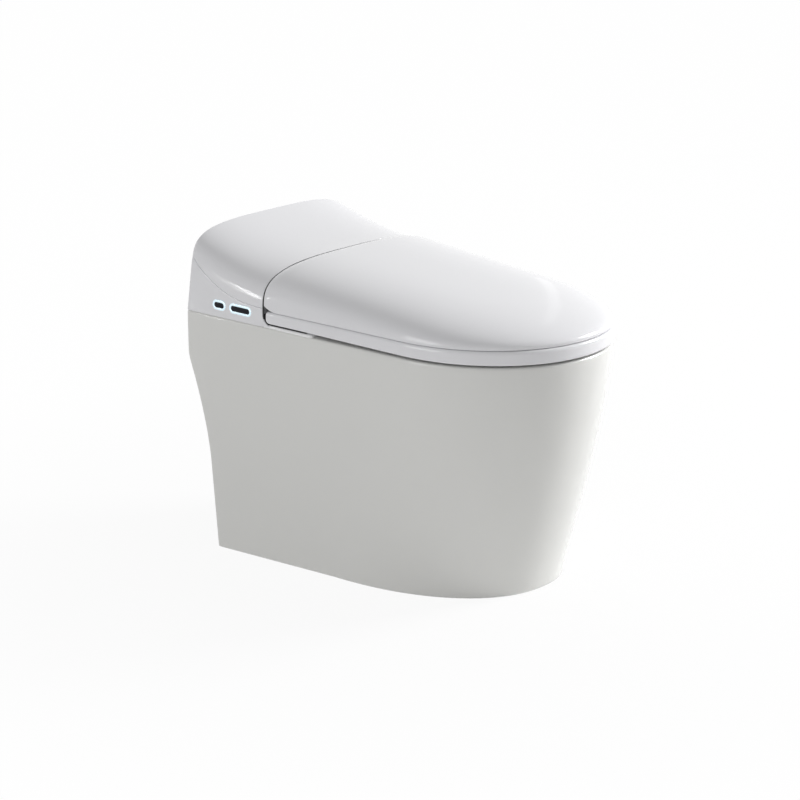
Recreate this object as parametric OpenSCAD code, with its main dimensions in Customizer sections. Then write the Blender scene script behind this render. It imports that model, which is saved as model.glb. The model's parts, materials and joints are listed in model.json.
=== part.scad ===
// One-piece smart toilet with a hinged seat and lid and a housing behind them.
// Millimetres. +Z is up, the front faces -Y, and Z = 0 is the floor.
// X = 0 is the middle, and Y = 0 is halfway between the front and the back.

/* [Overall] */
// Length from the front of the seat to the back
body_l = 680; // [660:5:700]
// Width across the back of the pan
body_w = 410; // [400:1:420]
// Width across the seat where its round front starts
seat_w = 400; // [390:1:410]
// Height of the ceramic rim
rim_h = 400; // [390:1:420]
// Distance of the lid's rear seam from the back
seam_back = 175; // [168:1:182]
// Length of the round front, from the straight sides to the tip
nose_l = 222; // [205:1:235]

/* [Pan] */
// Wall of the ceramic
pan_wall = 12; // [10:0.5:14]
// Width of the foot at the front
foot_w = 370; // [355:1:380]
// How far the front of the foot stands behind the front of the rim
foot_back = 88; // [70:1:100]
// How far the back of the foot stands ahead of the back of the pan
foot_ahead = 58; // [45:1:70]
// Width of the bowl's mouth
bowl_w = 284; // [270:1:290]
// Length of the bowl's mouth
bowl_l = 350; // [335:1:355]
// Depth of the bowl
bowl_d = 310; // [300:5:315]
// Inner radius of the trapway
trap_r = 26; // [24:0.5:27]
// Inner radius of the floor outlet
outlet_r = 42; // [40:0.5:44]
// Distance of the outlet's centre from the back of the pan
outlet_back = 230; // [226:1:234]

/* [Seat] */
// Width of the seat's opening
hole_w = 214; // [200:1:224]
// Length of the seat's opening
hole_l = 292; // [280:1:300]
// Thickness of the seat
seat_t = 21; // [18:0.5:23]
// Thickness of the seat's lower shell
seat_under_t = 5.4; // [4:0.2:6]

/* [Lid and housing] */
// Height of the lid's seam above the rim
seam_h = 96.6; // [92:0.2:100]
// Height of the housing's rear edge above the rim
back_h = 135.4; // [128:0.2:140]
// Height of the lid's crown just ahead of the seam, above the rim
crown_h = 104; // [102:0.2:106]
// Fall of the lid's top from its crown to its front
crown_fall = 48; // [42:0.5:52]
// Wall of the lid and the covers
skin_t = 3; // [2.5:0.1:3.5]
// Rounding of the rear corners of the pan and the housing
corner_r = 5; // [4:0.5:8]
// Gap at the seam between the lid and the housing
seam_gap = 2; // [1.8:0.1:3]
// Thickness of the plate that the housing stands on
plate_t = 4.6; // [4:0.1:4.8]

/* [Hinge] */
// Distance of the hinge axis ahead of the seam
axis_ahead = 27; // [26:0.5:29]
// Height of the hinge axis above the rim
axis_h = 74; // [72:0.5:75]
// Radius of the drive shafts
shaft_r = 6; // [5:0.5:7]
// Radius of the seat and lid actuators
drive_r = 17; // [15:0.5:18]

/* [Washing] */
// Radius of the wash nozzle
nozzle_r = 9; // [8:0.5:10]
// Length of the wash nozzle
nozzle_l = 176; // [168:1:184]
// Slope of the nozzle below the horizontal
nozzle_tilt = 20; // [18:0.5:22]

/* [Inside] */
// Width of the water heater's tank
tank_w = 68; // [60:1:72]
// Length of the tank
tank_l = 104; // [90:1:106]
// Height of the tank
tank_h = 50; // [40:1:56]
// Width of the power supply
supply_w = 70; // [60:1:72]
// Length of the power supply
supply_l = 100; // [80:1:104]
// Height of the power supply
supply_h = 42; // [34:1:46]
// Radius of an air fan's drum
fan_r = 34; // [30:0.5:35]
// Height of an air fan's drum
fan_h = 40; // [32:1:44]
// Width of an air duct
duct_w = 34; // [30:0.5:36]
// Height of an air duct
duct_h = 24; // [20:0.5:26]
// Radius of the water inlet's thread
inlet_r = 10.5; // [10:0.25:13]

/* [Keys] */
// Length of the large key
key_long = 42; // [38:0.5:44]
// Length of the small key
key_short = 22; // [18:0.5:24]
// Height of both keys
key_h = 9.5; // [8:0.5:10]
// Width of the bright bezel round a key
bezel_w = 2.6; // [2:0.1:3]

/* [Fits] */
// Gap between moving shells
move_gap = 1; // [0.8:0.1:1.5]
// Gap between fitted covers
fit_gap = 0.3; // [0.2:0.05:0.4]
// Running clearance of shafts in their bores, on the radius
run_gap = 0.05; // [0.03:0.01:0.08]

/* [Hidden] */
$fn = 48;
eps = 0.01;

// Places that follow from the sizes
rear_y = body_l / 2;
front_y = -body_l / 2;
seam_y = rear_y - seam_back;
nose_y = front_y + nose_l;
deck_z = rim_h + plate_t;
seat_z0 = deck_z + move_gap;
seat_z1 = seat_z0 + seat_t;
lid_z0 = seat_z1 + 2;
seam_z = rim_h + seam_h;
back_z = rim_h + back_h;
axis_y = seam_y - axis_ahead;
axis_z = rim_h + axis_h;
cover_y = seam_y + seam_gap;
bowl_y = front_y + 35 + bowl_l / 2;
hole_y = front_y + 58 + hole_l / 2;
white = [0.9, 0.9, 0.89];

// Half width of the rim and the seat along the straight sides
function side(y) = seat_w / 2 + (body_w - seat_w) / 2 * (y - nose_y) / (rear_y - nose_y);

// Half width of a plan whose round front has half width a and length b
function nose(s, a, n) = a * pow(max(0, 1 - pow(s, n)), 1 / n);

// One half of a plan outline, from the middle of the back to the tip of the front
function half_plan(hr, hf, yr, ye, yf, n, rc, c) = concat(
  [for (u = [0, 0.4, 0.75]) [u * hr, yr]],
  [for (a = [90:-30:0]) [hr - rc + rc * cos(a), yr - rc + rc * sin(a)]],
  [for (u = [0.2:0.2:1]) let (y = (yr - rc) + (ye - yr + rc) * u) [hr + (hf - hr) * u, y]],
  [for (k = [1:c]) let (t = 90 * k / c) [hf * pow(cos(t), 2 / n), ye - (ye - yf) * pow(sin(t), 2 / n)]]
);

// A closed plan outline, made of one half and its mirror image
function plan(hr, hf, yr, ye, yf, n = 2.06, rc = corner_r, c = 10) =
  let (h = half_plan(hr, hf, yr, ye, yf, n, rc, c), m = len(h))
  concat(h, [for (i = [m - 2:-1:1]) [-h[i][0], h[i][1]]]);

function at_z(outline, z) = [for (p = outline) [p[0], p[1], z]];

// The pan's outline at height z, drawn in by d
function pan_lean(z) = let (t = 1 - z / rim_h) 1.06 * pow(t, 1.4) - 0.06 * pow(t, 14);
function pan_back(z) =
  let (bend = rim_h * 0.81, low = bend * 0.46, rise = max(0, (z - low) / (bend - low)))
  z > bend ? 0 : foot_ahead - 26 * z / bend - (foot_ahead - 26) * pow(rise, 1.7);
function pan_plan(z, d = 0) =
  let (k = pan_lean(z))
  plan(body_w / 2 - 5 * k - d, seat_w / 2 - 2 - (seat_w / 2 - 2 - foot_w / 2) * k - d,
       rear_y - pan_back(z) - d, nose_y + 150 * k, front_y + 2 + (foot_back - 2) * k + d, 2.06 + 0.14 * k,
       max(3, corner_r - d));

// A point of the bowl at the polar angle of an outline's point
function bowl_ring(outline, a, b, yc, z) =
  [for (p = outline) let (t = atan2((p[1] - yc) / b, p[0] / a)) [a * cos(t), yc + b * sin(t), z]];

// A skin through rings of equal length, closed at both ends
module skin(rings) {
  n = len(rings[0]);
  m = len(rings);
  walls = [for (k = [0:m - 2], i = [0:n - 1]) let (a = k * n + i, b = k * n + (i + 1) % n)
    each [[a, b, b + n], [a, b + n, a + n]]];
  ends = [[for (i = [n - 1:-1:0]) i], [for (i = [0:n - 1]) (m - 1) * n + i]];
  polyhedron(points = [for (r = rings) each r], faces = concat(walls, ends), convexity = 8);
}

// A ring-shaped body through closed rings, the last joined to the first
module hoop(rings) {
  n = len(rings[0]);
  m = len(rings);
  walls = [for (k = [0:m - 1], i = [0:n - 1])
    let (j = (i + 1) % n, a = k * n + i, b = k * n + j, c = ((k + 1) % m) * n + j, d = ((k + 1) % m) * n + i)
    each [[a, b, c], [a, c, d]]];
  polyhedron(points = [for (r = rings) each r], faces = walls, convexity = 8);
}

// A thin arch or panel: each station is a list of outer points and one of inner points
module shell(stations) {
  j = len(stations[0][0]);
  n = 2 * j;
  m = len(stations);
  rings = [for (s = stations) concat(s[0], [for (i = [j - 1:-1:0]) s[1][i]])];
  walls = [for (k = [0:m - 2], i = [0:n - 1]) let (a = k * n + i, b = k * n + (i + 1) % n)
    each [[a, b, b + n], [a, b + n, a + n]]];
  first = [for (i = [0:j - 2]) [i + 1, i, n - 1 - i, n - 2 - i]];
  last = [for (f = first) [for (q = [3:-1:0]) f[q] + (m - 1) * n]];
  polyhedron(points = [for (r = rings) each r], faces = concat(walls, first, last), convexity = 8);
}

module stadium(w, h) {
  square([w - h, h], center = true);
  for (x = [-1, 1]) translate([x * (w - h) / 2, 0]) circle(h / 2);
}

module rrect(w, h, r) {
  square([w - 2 * r, h], center = true);
  square([w, h - 2 * r], center = true);
  for (x = [-1, 1], y = [-1, 1]) translate([x * (w / 2 - r), y * (h / 2 - r)]) circle(r);
}

// A prism along X whose profile is drawn in Y and Z
module along_x(x0, x1) {
  translate([x0, 0, 0]) rotate([90, 0, 90]) linear_extrude(x1 - x0) children();
}

// A prism along Y whose profile is drawn in X and Z
module along_y(y0, y1) {
  translate([0, y1, 0]) rotate([90, 0, 0]) linear_extrude(y1 - y0) children();
}

module block(x0, x1, y0, y1, z0, z1) {
  translate([x0, y0, z0]) cube([x1 - x0, y1 - y0, z1 - z0]);
}

// Pan
bowl_a = bowl_w / 2;
bowl_b = bowl_l / 2;
sump_z = rim_h - bowl_d;
// How far the sump lies behind the middle of the bowl's mouth
sump_shift = 8;
outlet_y = rear_y - outlet_back;
// Height share, width share and length share of the bowl, from its mouth to its floor
bowl_steps = [[1, 1, 1], [0.985, 0.965, 0.972], [0.8, 0.93, 0.95], [0.55, 0.8, 0.82],
  [0.32, 0.56, 0.5], [0.14, 0.38, 0.36], [0, 0.24, 0.24]];
// The trapway rises out of the sump at this slope, bends over the weir and falls to the outlet
trap_rise = 37;
trap_wall = 9;
trap_y0 = bowl_y + 35;
trap_z0 = sump_z + 16;
trap_bend = trap_r + trap_wall + 11;
trap_up = (outlet_y - trap_y0 - trap_bend * (1 + sin(trap_rise))) / cos(trap_rise);
trap_y1 = trap_y0 + trap_up * cos(trap_rise);
trap_z1 = trap_z0 + trap_up * sin(trap_rise);
weir_y = trap_y1 + trap_bend * sin(trap_rise);
weir_z = trap_z1 - trap_bend * cos(trap_rise);

module trapway(r, r_end, z_end, step) {
  translate([0, trap_y0, trap_z0]) rotate([trap_rise - 90, 0, 0]) cylinder(r = r, h = trap_up + 4);
  translate([0, weir_y, weir_z]) rotate([90, 0, 90]) rotate_extrude(angle = 90 + trap_rise)
    translate([trap_bend, 0]) circle(r);
  translate([0, outlet_y, 50]) cylinder(r = r, h = weir_z - 46);
  translate([0, outlet_y, z_end]) cylinder(r = r_end, h = step - z_end);
}

// The room inside the bowl, grown by d into its wall
module bowl_room(d) {
  rim = pan_plan(rim_h);
  skin([for (k = [len(bowl_steps) - 1:-1:0]) let (s = bowl_steps[k])
    bowl_ring(rim, bowl_a * s[1] + d, bowl_b * s[2] + d, bowl_y + sump_shift * (1 - s[0]),
      sump_z + bowl_d * s[0] - (s[0] == 0 ? d : 0))]);
}

module ceramic_pan() {
  rim = pan_plan(rim_h);
  levels = [1, 0.9, 0.81, 0.76, 0.68, 0.55, 0.42, 0.26, 0.12, 0.05, 0.006, 0];
  inner_levels = [0, 0.26, 0.42, 0.55, 0.68, 0.81];
  deck_u = rim_h - pan_wall;
  rings = concat(
    [for (k = [len(bowl_steps) - 1:-1:0]) let (s = bowl_steps[k])
      bowl_ring(rim, bowl_a * s[1], bowl_b * s[2], bowl_y + sump_shift * (1 - s[0]), sump_z + bowl_d * s[0])],
    [at_z(pan_plan(rim_h, 3), rim_h)],
    [for (t = levels) at_z(pan_plan(rim_h * t, t == 0 ? 2 : 0), rim_h * t - (t == 1 ? 3 : 0))],
    [for (t = inner_levels) at_z(pan_plan(rim_h * t, pan_wall), rim_h * t)],
    [at_z(pan_plan(deck_u, pan_wall), deck_u)],
    [bowl_ring(rim, bowl_a * 0.96 + pan_wall, bowl_b * 0.97 + pan_wall, bowl_y, deck_u)],
    [for (k = [2:len(bowl_steps) - 1]) let (s = bowl_steps[k])
      bowl_ring(rim, bowl_a * s[1] + pan_wall, bowl_b * s[2] + pan_wall, bowl_y + sump_shift * (1 - s[0]),
        min(deck_u, sump_z + bowl_d * s[0]) - (k == len(bowl_steps) - 1 ? pan_wall : 0))]
  );
  // Fitting the whole pan to its overall size keeps it one plain mesh
  color(white) resize([max(body_w, seat_w - 4), body_l - 2, rim_h]) difference() {
    union() {
      skin([for (i = [len(rings) - 1:-1:0]) rings[i]]);
      difference() {
        trapway(trap_r + trap_wall, outlet_r + 8, lip_h, 72, $fn = 28);
        bowl_room(4);
      }
    }
    trapway(trap_r, outlet_r + 0.5, -1, 60, $fn = 28);
    // Opening in the deck for the plumbing
    block(-165, 165, cover_y + 22, rear_y - 24, rim_h - 60, rim_h + 1);
    // Channel from the deck to the bowl, for the nozzle and the ducts
    block(-88, 88, bowl_y + bowl_b - 14, cover_y + 23, rim_h - 60, rim_h + 1);
    // Service opening in the back
    along_y(rear_y - foot_ahead - 40, rear_y + 1) translate([0, rim_h * 0.42]) rrect(230, 240, 20);
    // Bolt holes of the base plate
    for (x = [-1, 1]) translate([x * bolt_x, bolt_y, rim_h - 30]) cylinder(r = bolt_r + 1.5, h = 40);
  }
}
bolt_x = body_w / 2 - 29;
bolt_y = rear_y - 28;
bolt_r = 4;

// Soft sleeve between the pan's horn and the floor drain; its lip stands on the floor
lip_h = 12;
module outlet_seal() {
  color([0.2, 0.2, 0.2]) translate([0, outlet_y, 0]) difference() {
    cylinder(r = outlet_r + 18, h = lip_h + 16);
    translate([0, 0, -1]) cylinder(r = outlet_r, h = lip_h + 2);
    translate([0, 0, lip_h]) cylinder(r = outlet_r + 8 + fit_gap / 2, h = 18);
  }
}

// Base plate under the housing, with an arm along each side under the seat
arm_l = 104;
plate_in = skin_t + fit_gap + 0.8;
module plate_outline() {
  difference() {
    polygon(concat(
      [[side(seam_y) - 0.5, seam_y + 1], [side(nose_y) + 2.8, seam_y - arm_l + 12]],
      [for (a = [0:-30:-90]) [side(nose_y) - 4 + 7 * cos(a), seam_y - arm_l + 7 + 7 * sin(a)]],
      [for (a = [-90:-30:-180]) [bowl_a + 12 + 7 * cos(a), seam_y - arm_l + 7 + 7 * sin(a)]],
      [[bowl_a + 5, seam_y - 50], [88, seam_y - 62], [-88, seam_y - 62], [-bowl_a - 5, seam_y - 50]],
      [for (a = [0:-30:-90]) [-bowl_a - 12 + 7 * cos(a), seam_y - arm_l + 7 + 7 * sin(a)]],
      [for (a = [-90:-30:-180]) [-side(nose_y) + 4 + 7 * cos(a), seam_y - arm_l + 7 + 7 * sin(a)]],
      [[-side(nose_y) - 2.8, seam_y - arm_l + 12], [-side(seam_y) + 0.5, seam_y + 1]],
      [[-side(seam_y) + plate_in, seam_y + 1], [-side(rear_y) + plate_in, rear_y - corner_r - 3],
        [-side(rear_y) + plate_in + 3, rear_y - plate_in]],
      [[side(rear_y) - plate_in - 3, rear_y - plate_in], [side(rear_y) - plate_in, rear_y - corner_r - 3],
        [side(seam_y) - plate_in, seam_y + 1]]));
    // Room for the nozzle housing
    translate([-23, seam_y - 63]) square([46, 150]);
    // Ports of the ducts and the hoses
    for (x = [-1, 1]) translate([x * duct_x, fan_y]) circle(14);
    for (x = [-1, 1]) translate([x * bolt_x, bolt_y]) circle(bolt_r + 0.3);
  }
}
duct_x = 66;
fan_y = seam_y + 62;

module base_plate() {
  color(white) translate([0, 0, rim_h]) linear_extrude(plate_t) plate_outline();
}

module base_bolts() {
  color([0.75, 0.76, 0.78]) for (x = [-1, 1]) translate([x * bolt_x, bolt_y, 0]) {
    translate([0, 0, rim_h - 26]) cylinder(r = bolt_r, h = 26 + plate_t);
    translate([0, 0, deck_z]) cylinder(r = 7, h = 4.5, $fn = 6);
    translate([0, 0, rim_h - pan_wall - 12]) cylinder(r = 9, h = 12);
  }
}

// Section of the housing: half width at height z, at distance s behind the seam
function back_share(s) = max(0, s) / seam_back;
function crest(s) = seam_z + (back_h - seam_h) * pow(back_share(s), 1.8);
function rise(s, z) = max(0, min(1, (z - seat_z1) / (crest(s) - seat_z1)));
// The sides lean in towards the back, and the rear corner is rounded
function corner_share(s) = max(0, min(1, (s - seam_back + corner_r) / corner_r));
function house_w(s, z) = side(seam_y + s) - 13 * back_share(s) * min(1, (z - rim_h) / 90)
  - corner_r * (1 - sqrt(1 - pow(corner_share(s), 2)));
function house_x(s, z) = let (g = back_share(s))
  house_w(s, z) * pow(max(0, 1 - pow(rise(s, z), 3.2 + 3.3 * g)), 1 / (3.2 + 0.3 * g));
// The wall grows round the rear corner, to keep its thickness there
function wall_t(s) = skin_t * (1 + 1.5 * pow(corner_share(s), 2));
// Height of the parting line between a side panel and the rear cover
function part_z(s) = seat_z1 + 4.4 + (back_h - seam_h + 21.2) * pow(back_share(s), 2.4);

// Half of an arch from the parting line up to the crest, drawn in by d along its normal
function arch_line(s, zl, c) = let (zt = crest(s))
  [for (k = [0:c]) let (z = zl + (zt - zl) * pow(sin(90 * k / c), 1.2)) [house_x(s, z), z]];
function arch_half(s, zl, d, c) = let (p = arch_line(s, zl, c))
  [for (k = [0:c]) let (t = p[min(k + 1, c)] - p[max(k - 1, 0)], n = [t[1], -t[0]] / norm(t))
    k == 0 ? [p[0][0] - d, zl] : k == c ? [0, p[c][1] - d] : [max(0, p[k][0] - d * n[0]), p[k][1] - d * n[1]]];
function arch(s, y, zl, d, c = 11) = let (h = arch_half(s, zl, d, c))
  concat([for (p = h) [p[0], y, p[1]]], [for (k = [c - 1:-1:0]) [-h[k][0], y, h[k][1]]]);

cover_stops = concat([for (g = [0, 0.017, 0.07, 0.17, 0.3, 0.43, 0.57, 0.7, 0.8, 0.88]) max(0, seam_back * g - seam_gap)],
  [for (c = [2.2, 1, 0.6, 0.3, 0.1, 0]) seam_back - c * corner_r - seam_gap]);
module rear_cover() {
  last = len(cover_stops) - 1;
  color(white) shell([for (k = [0:last])
    let (s = k == 0 ? seam_gap : cover_stops[k] + seam_gap, y = seam_y + s, edge = k == last ? 1.2 : 0, thin = k == 0 ? 0.8 : wall_t(s),
         zl = min(part_z(s), crest(s) - 27) + fit_gap)
    [arch(s, y, zl, edge), arch(s, y, zl, max(thin, edge + 0.5))]]);
}

module side_panel(dir) {
  c = 6;
  function wall(s, y, d) = [for (k = [0:c]) let (z = rim_h + (min(part_z(s), crest(s) - 27) - rim_h) * k / c)
    [dir * (house_x(s, z) - d), y, z]];
  list = [for (s0 = cover_stops) let (s = s0 + seam_gap, y = seam_y + s) [wall(s, y, 0), wall(s, y, wall_t(s))]];
  shell(dir < 0 ? [for (k = [len(list) - 1:-1:0]) list[k]] : list);
}
key_z = rim_h + 19.4;
key_y1 = seam_y + 53;
key_y2 = seam_y + 101;

module key_slot(y, l, d) {
  along_x(-side(rear_y) - 1, -side(seam_y) + 12) translate([y, key_z])
    stadium(l + 2 * d, key_h + 2 * d);
}

module side_panel_right() {
  color(white) difference() {
    side_panel(-1);
    key_slot(key_y1, key_long, bezel_w);
    key_slot(key_y2, key_short, bezel_w);
  }
}

module side_panel_left() {
  color(white) side_panel(1);
}

// Half section of the housing inside its cover, for what fits under it
module house_inside(s, d) {
  h = arch_half(s, rim_h, d + fit_gap, 14);
  polygon(concat([for (p = h) [p[0], p[1]]], [for (k = [len(h) - 2:-1:0]) [-h[k][0], h[k][1]]]));
}

sweep_r = norm([axis_ahead, seam_z - axis_z]) + move_gap;
module front_bulkhead() {
  top = 36;
  low = -36;
  color([0.86, 0.86, 0.86]) intersection() {
    along_x(-body_w / 2, body_w / 2) polygon(concat(
      [for (a = [top:-9:low]) [axis_y + (sweep_r + 0.4) * cos(a), axis_z + (sweep_r + 0.4) * sin(a)]],
      [[axis_y + (sweep_r + 0.4) * cos(low), deck_z]],
      [[axis_y + (sweep_r + 2.9) * cos(low), deck_z]],
      [for (a = [low:9:top - 9]) [axis_y + (sweep_r + 2.9) * cos(a), axis_z + (sweep_r + 2.9) * sin(a)]]));
    difference() {
      along_y(seam_y, rear_y) house_inside(seam_gap, skin_t + 1.8);
      block(-20, 20, seam_y, seam_y + 20, rim_h, rim_h + 34);
    }
  }
}

module back_panel() {
  color([0.88, 0.88, 0.87]) difference() {
    along_y(rear_y - 3.2, rear_y - 0.4) intersection() {
      house_inside(seam_back - 0.5, 2.5 * skin_t + 1.2);
      translate([-body_w / 2, deck_z]) square([body_w, back_h]);
    }
    // Slots that let the blower breathe
    for (k = [0:7]) block(30 + 12 * k, 36 + 12 * k, rear_y - 5, rear_y, deck_z + 46, deck_z + 84);
    // Holes for the water inlet and the cord gland
    translate([inlet_x, rear_y - 5, inlet_z]) rotate([-90, 0, 0]) cylinder(r = 22, h = 6);
    translate([gland_x, rear_y - 5, inlet_z]) rotate([-90, 0, 0]) cylinder(r = 9.2, h = 6);
  }
}
inlet_x = 121 - body_w / 2;
inlet_z = deck_z + 26;
gland_x = body_w / 2 - 55;

// Hinge
drive_x0 = 36;
drive_x1 = 98;
arm_x = 108;
arm_t = 12;
lug_x = arm_x + arm_t + 2;
lug_t = 10;
module hinge_pedestal() {
  color([0.7, 0.7, 0.7]) difference() {
    union() {
      for (x = [-1, 1]) translate([x > 0 ? drive_x0 + 4 : -drive_x1 - 2, 0, 0])
        along_x(0, drive_x1 - drive_x0 - 2) polygon([[axis_y - 22, deck_z], [axis_y + 14, deck_z],
          [axis_y + 14, axis_z - 14], [axis_y + 10, axis_z], [axis_y - 19, axis_z], [axis_y - 22, axis_z - 16]]);
      block(-drive_x0 - 4, drive_x0 + 4, axis_y - 16, axis_y + 10, axis_z - 36, axis_z - 22);
    }
    translate([-drive_x1 - 9, axis_y, axis_z]) rotate([0, 90, 0]) cylinder(r = drive_r, h = 2 * drive_x1 + 18);
  }
}

module drive(x0, x1) {
  difference() {
    translate([x0, axis_y, axis_z]) rotate([0, 90, 0]) cylinder(r = drive_r, h = x1 - x0);
    translate([min(x0, x1) - 1, axis_y, axis_z]) rotate([0, 90, 0])
      translate([0, 0, 20]) cylinder(r = shaft_r + run_gap, h = abs(x1 - x0));
  }
}

module seat_actuator() {
  color([0.3, 0.3, 0.32]) mirror([1, 0, 0]) drive(drive_x0 - 4, drive_x1 + 4);
}

module lid_actuator() {
  color([0.3, 0.3, 0.32]) drive(drive_x0 - 4, drive_x1 + 4);
}

module shaft(x0, x1) {
  translate([x0, axis_y, axis_z]) rotate([0, 90, 0]) cylinder(r = shaft_r, h = x1 - x0);
}

module seat_drive_shaft() {
  color([0.78, 0.79, 0.8]) shaft(-lug_x - lug_t, -drive_x0 - 20);
}

module lid_drive_shaft() {
  color([0.78, 0.79, 0.8]) shaft(drive_x0 + 20, lug_x + lug_t);
}

// An eye on the hinge axis, from x0 over a width t, with a bore of radius r
module eye(x0, t, ring, r) {
  difference() {
    union() {
      translate([x0, axis_y, axis_z]) rotate([0, 90, 0]) cylinder(r = ring, h = t);
      children();
    }
    translate([x0 - 1, axis_y, axis_z]) rotate([0, 90, 0]) cylinder(r = r, h = t + 2);
  }
}

module seat_hinge_arms() {
  color(white) for (x = [-1, 1]) {
    x0 = x > 0 ? arm_x : -arm_x - arm_t;
    eye(x0, arm_t, 13, x > 0 ? shaft_r + run_gap : shaft_r)
      along_x(x0, x0 + arm_t) polygon([[axis_y - 22, seat_z1], [axis_y + 12, seat_z1], [axis_y + 12, axis_z],
        [axis_y - 13, axis_z]]);
  }
}

module lid_hinge_lugs() {
  color(white) for (x = [-1, 1]) {
    x0 = x > 0 ? lug_x : -lug_x - lug_t;
    eye(x0, lug_t, 13, x < 0 ? shaft_r + run_gap : shaft_r)
      along_x(x0, x0 + lug_t) polygon([[liner_y - 40, liner_z1], [liner_y, liner_z1], [axis_y + 6, axis_z - 12],
        [axis_y + 8, axis_z + 12], [axis_y - 16, axis_z + 16], [liner_y - 40, liner_z1 + 12]]);
  }
}

// Seat
arc_r = axis_z - seat_z0;
hole_a = hole_w / 2;
hole_b = hole_l / 2;
seat_end = seam_y - 1.5;
function seat_plan(z, d = 0) = plan(side(seat_end) - d, seat_w / 2 - d, seat_end, nose_y, front_y + d, 2.06, 6);
function hole_ring(outline, z, d = 0) = bowl_ring(outline, hole_a + d, hole_b + d, hole_y, z);

module rear_corner() {
  // The rounded lower corner at the back of the seat, which clears the plate as the seat turns
  corner = 19;
  along_x(-body_w / 2, body_w / 2) difference() {
    translate([seat_end - corner, seat_z0 - 1]) square([corner + 1, corner + 1]);
    translate([seat_end - corner, seat_z0 + corner - 0.25]) circle(corner);
  }
  block(-arm_x + 3, arm_x - 3, axis_y - 26, seam_y + 1, seat_z0 - 1, seat_z1 + 1);
}

module seat_top() {
  z0 = seat_z0 + seat_under_t;
  o = seat_plan(z0);
  // Share of the way from the outline to the opening, and height above the shell's lower edge
  h = seat_z1 - z0;
  steps = [[0, 0], [0, h - 5], [0.012, h - 1.6], [0.035, h], [0.5, h], [0.75, h - 2], [0.93, h - 7], [1, h - 13], [1, 0]];
  hole = hole_ring(o, 0);
  color(white) difference() {
    hoop([for (s = steps) [for (i = [0:len(o) - 1])
      [o[i][0] + (hole[i][0] - o[i][0]) * s[0], o[i][1] + (hole[i][1] - o[i][1]) * s[0], z0 + s[1]]]]);
    rear_corner();
  }
}

module ring_2d(d_out, d_in) {
  o = seat_plan(0, d_out);
  difference() {
    polygon(o);
    polygon([for (p = hole_ring(o, 0, d_in)) [p[0], p[1]]]);
  }
}

module heater_2d() {
  difference() {
    polygon([for (t = [0:10:350]) [(hole_a + 55) * cos(t), hole_y + 8 + (hole_b + 38) * sin(t)]]);
    polygon([for (t = [0:10:350]) [(hole_a + 14) * cos(t), hole_y + (hole_b + 12) * sin(t)]]);
  }
}

module seat_base() {
  color(white) difference() {
    translate([0, 0, seat_z0]) linear_extrude(seat_under_t) ring_2d(0, 0);
    translate([0, 0, seat_z0 + seat_under_t - 0.8]) linear_extrude(1) heater_2d();
    rear_corner();
  }
}

module seat_heater() {
  color([0.8, 0.5, 0.3]) translate([0, 0, seat_z0 + seat_under_t - 0.8]) linear_extrude(0.8) heater_2d();
}

pad_places = [[158, -60], [100, front_y + 62]];
module seat_bumpers() {
  color([0.85, 0.85, 0.85]) for (p = pad_places, x = [-1, 1])
    translate([x * p[0], p[1], rim_h + fit_gap]) cylinder(r = 9, h = seat_z0 - rim_h - fit_gap);
}

// Lid
liner_y = axis_y - 34;
liner_z0 = seat_z1 + 4;
liner_z1 = liner_z0 + 2.5;
lid_front = front_y + 5;
lid_len = nose_y - lid_front;
function lid_crest(y) = let (d = seam_y - y)
  rim_h + crown_h - crown_fall * d / (body_l - seam_back) - (crown_h - seam_h) * pow(max(0, 1 - d / 25), 2);
function lid_side(y) = y > nose_y ? side(y) - 1.2 * (seam_y - y) / (seam_y - nose_y)
  : nose((nose_y - y) / lid_len, seat_w / 2 - 1.2, 2.06);
function lid_round(y, u) = let (s = max(0, (nose_y - y) / lid_len), q = pow(s, 2.06))
  pow(pow(u, 2.06) * (1 - q) + q, 1 / 2.06);
function lid_top(y, u) = let (b = lid_z0 + 2, g = min(1, (seam_y - y) / 400))
  b + (lid_crest(y) - b) * pow(max(0, 1 - pow(lid_round(y, u), 3.2 - 0.2 * g)), 1 / (3.2 - 1.3 * g));
lid_us = [0, 0.2, 0.4, 0.56, 0.69, 0.79, 0.865, 0.92, 0.96, 0.985, 1];
function lid_arch(y, d, base) = let (w = lid_side(y) - d, c = len(lid_us) - 1, h = concat([[w, base], [w, lid_z0 + 2]],
  [for (k = [c - 1:-1:0]) [w * lid_us[k], max(lid_z0 + 2, lid_top(y, lid_us[k]) - d)]]))
  concat([for (p = h) [p[0], y, p[1]]], [for (k = [len(h) - 2:-1:0]) [-h[k][0], y, h[k][1]]]);
lid_ys = concat([seam_y, seam_y - 8, seam_y - 20, seam_y - 45, seam_y - 110, seam_y - 200, nose_y],
  [for (t = [15, 30, 42, 54, 64, 72, 79, 84, 87.5]) nose_y - lid_len * sin(t)]);

module lid_shell() {
  last = len(lid_ys) - 1;
  color(white) difference() {
    skin([for (k = [last:-1:0]) lid_arch(lid_ys[k], 0, lid_z0)]);
    // The room under the skin, open below and behind
    skin([for (k = [last - 3:-1:0]) let (y = lid_ys[k] + (k == 0 ? 1 : 0)) lid_arch(y, skin_t, lid_z0 - 1)]);
    // The lower rear corners are cut to a circle round the hinge, to pass over the seat
    along_x(-body_w / 2, body_w / 2) difference() {
      translate([axis_y, lid_z0 - 1]) square([axis_ahead + 1, 12]);
      translate([axis_y, axis_z]) circle(axis_z - seat_z1 - move_gap);
    }
  }
}

module lid_liner() {
  o = plan(side(liner_y) - 6.5, seat_w / 2 - 9, liner_y, nose_y, lid_front + 12, 2.06, 3);
  color(white) translate([0, 0, liner_z0]) linear_extrude(liner_z1 - liner_z0) polygon(o);
}

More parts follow.
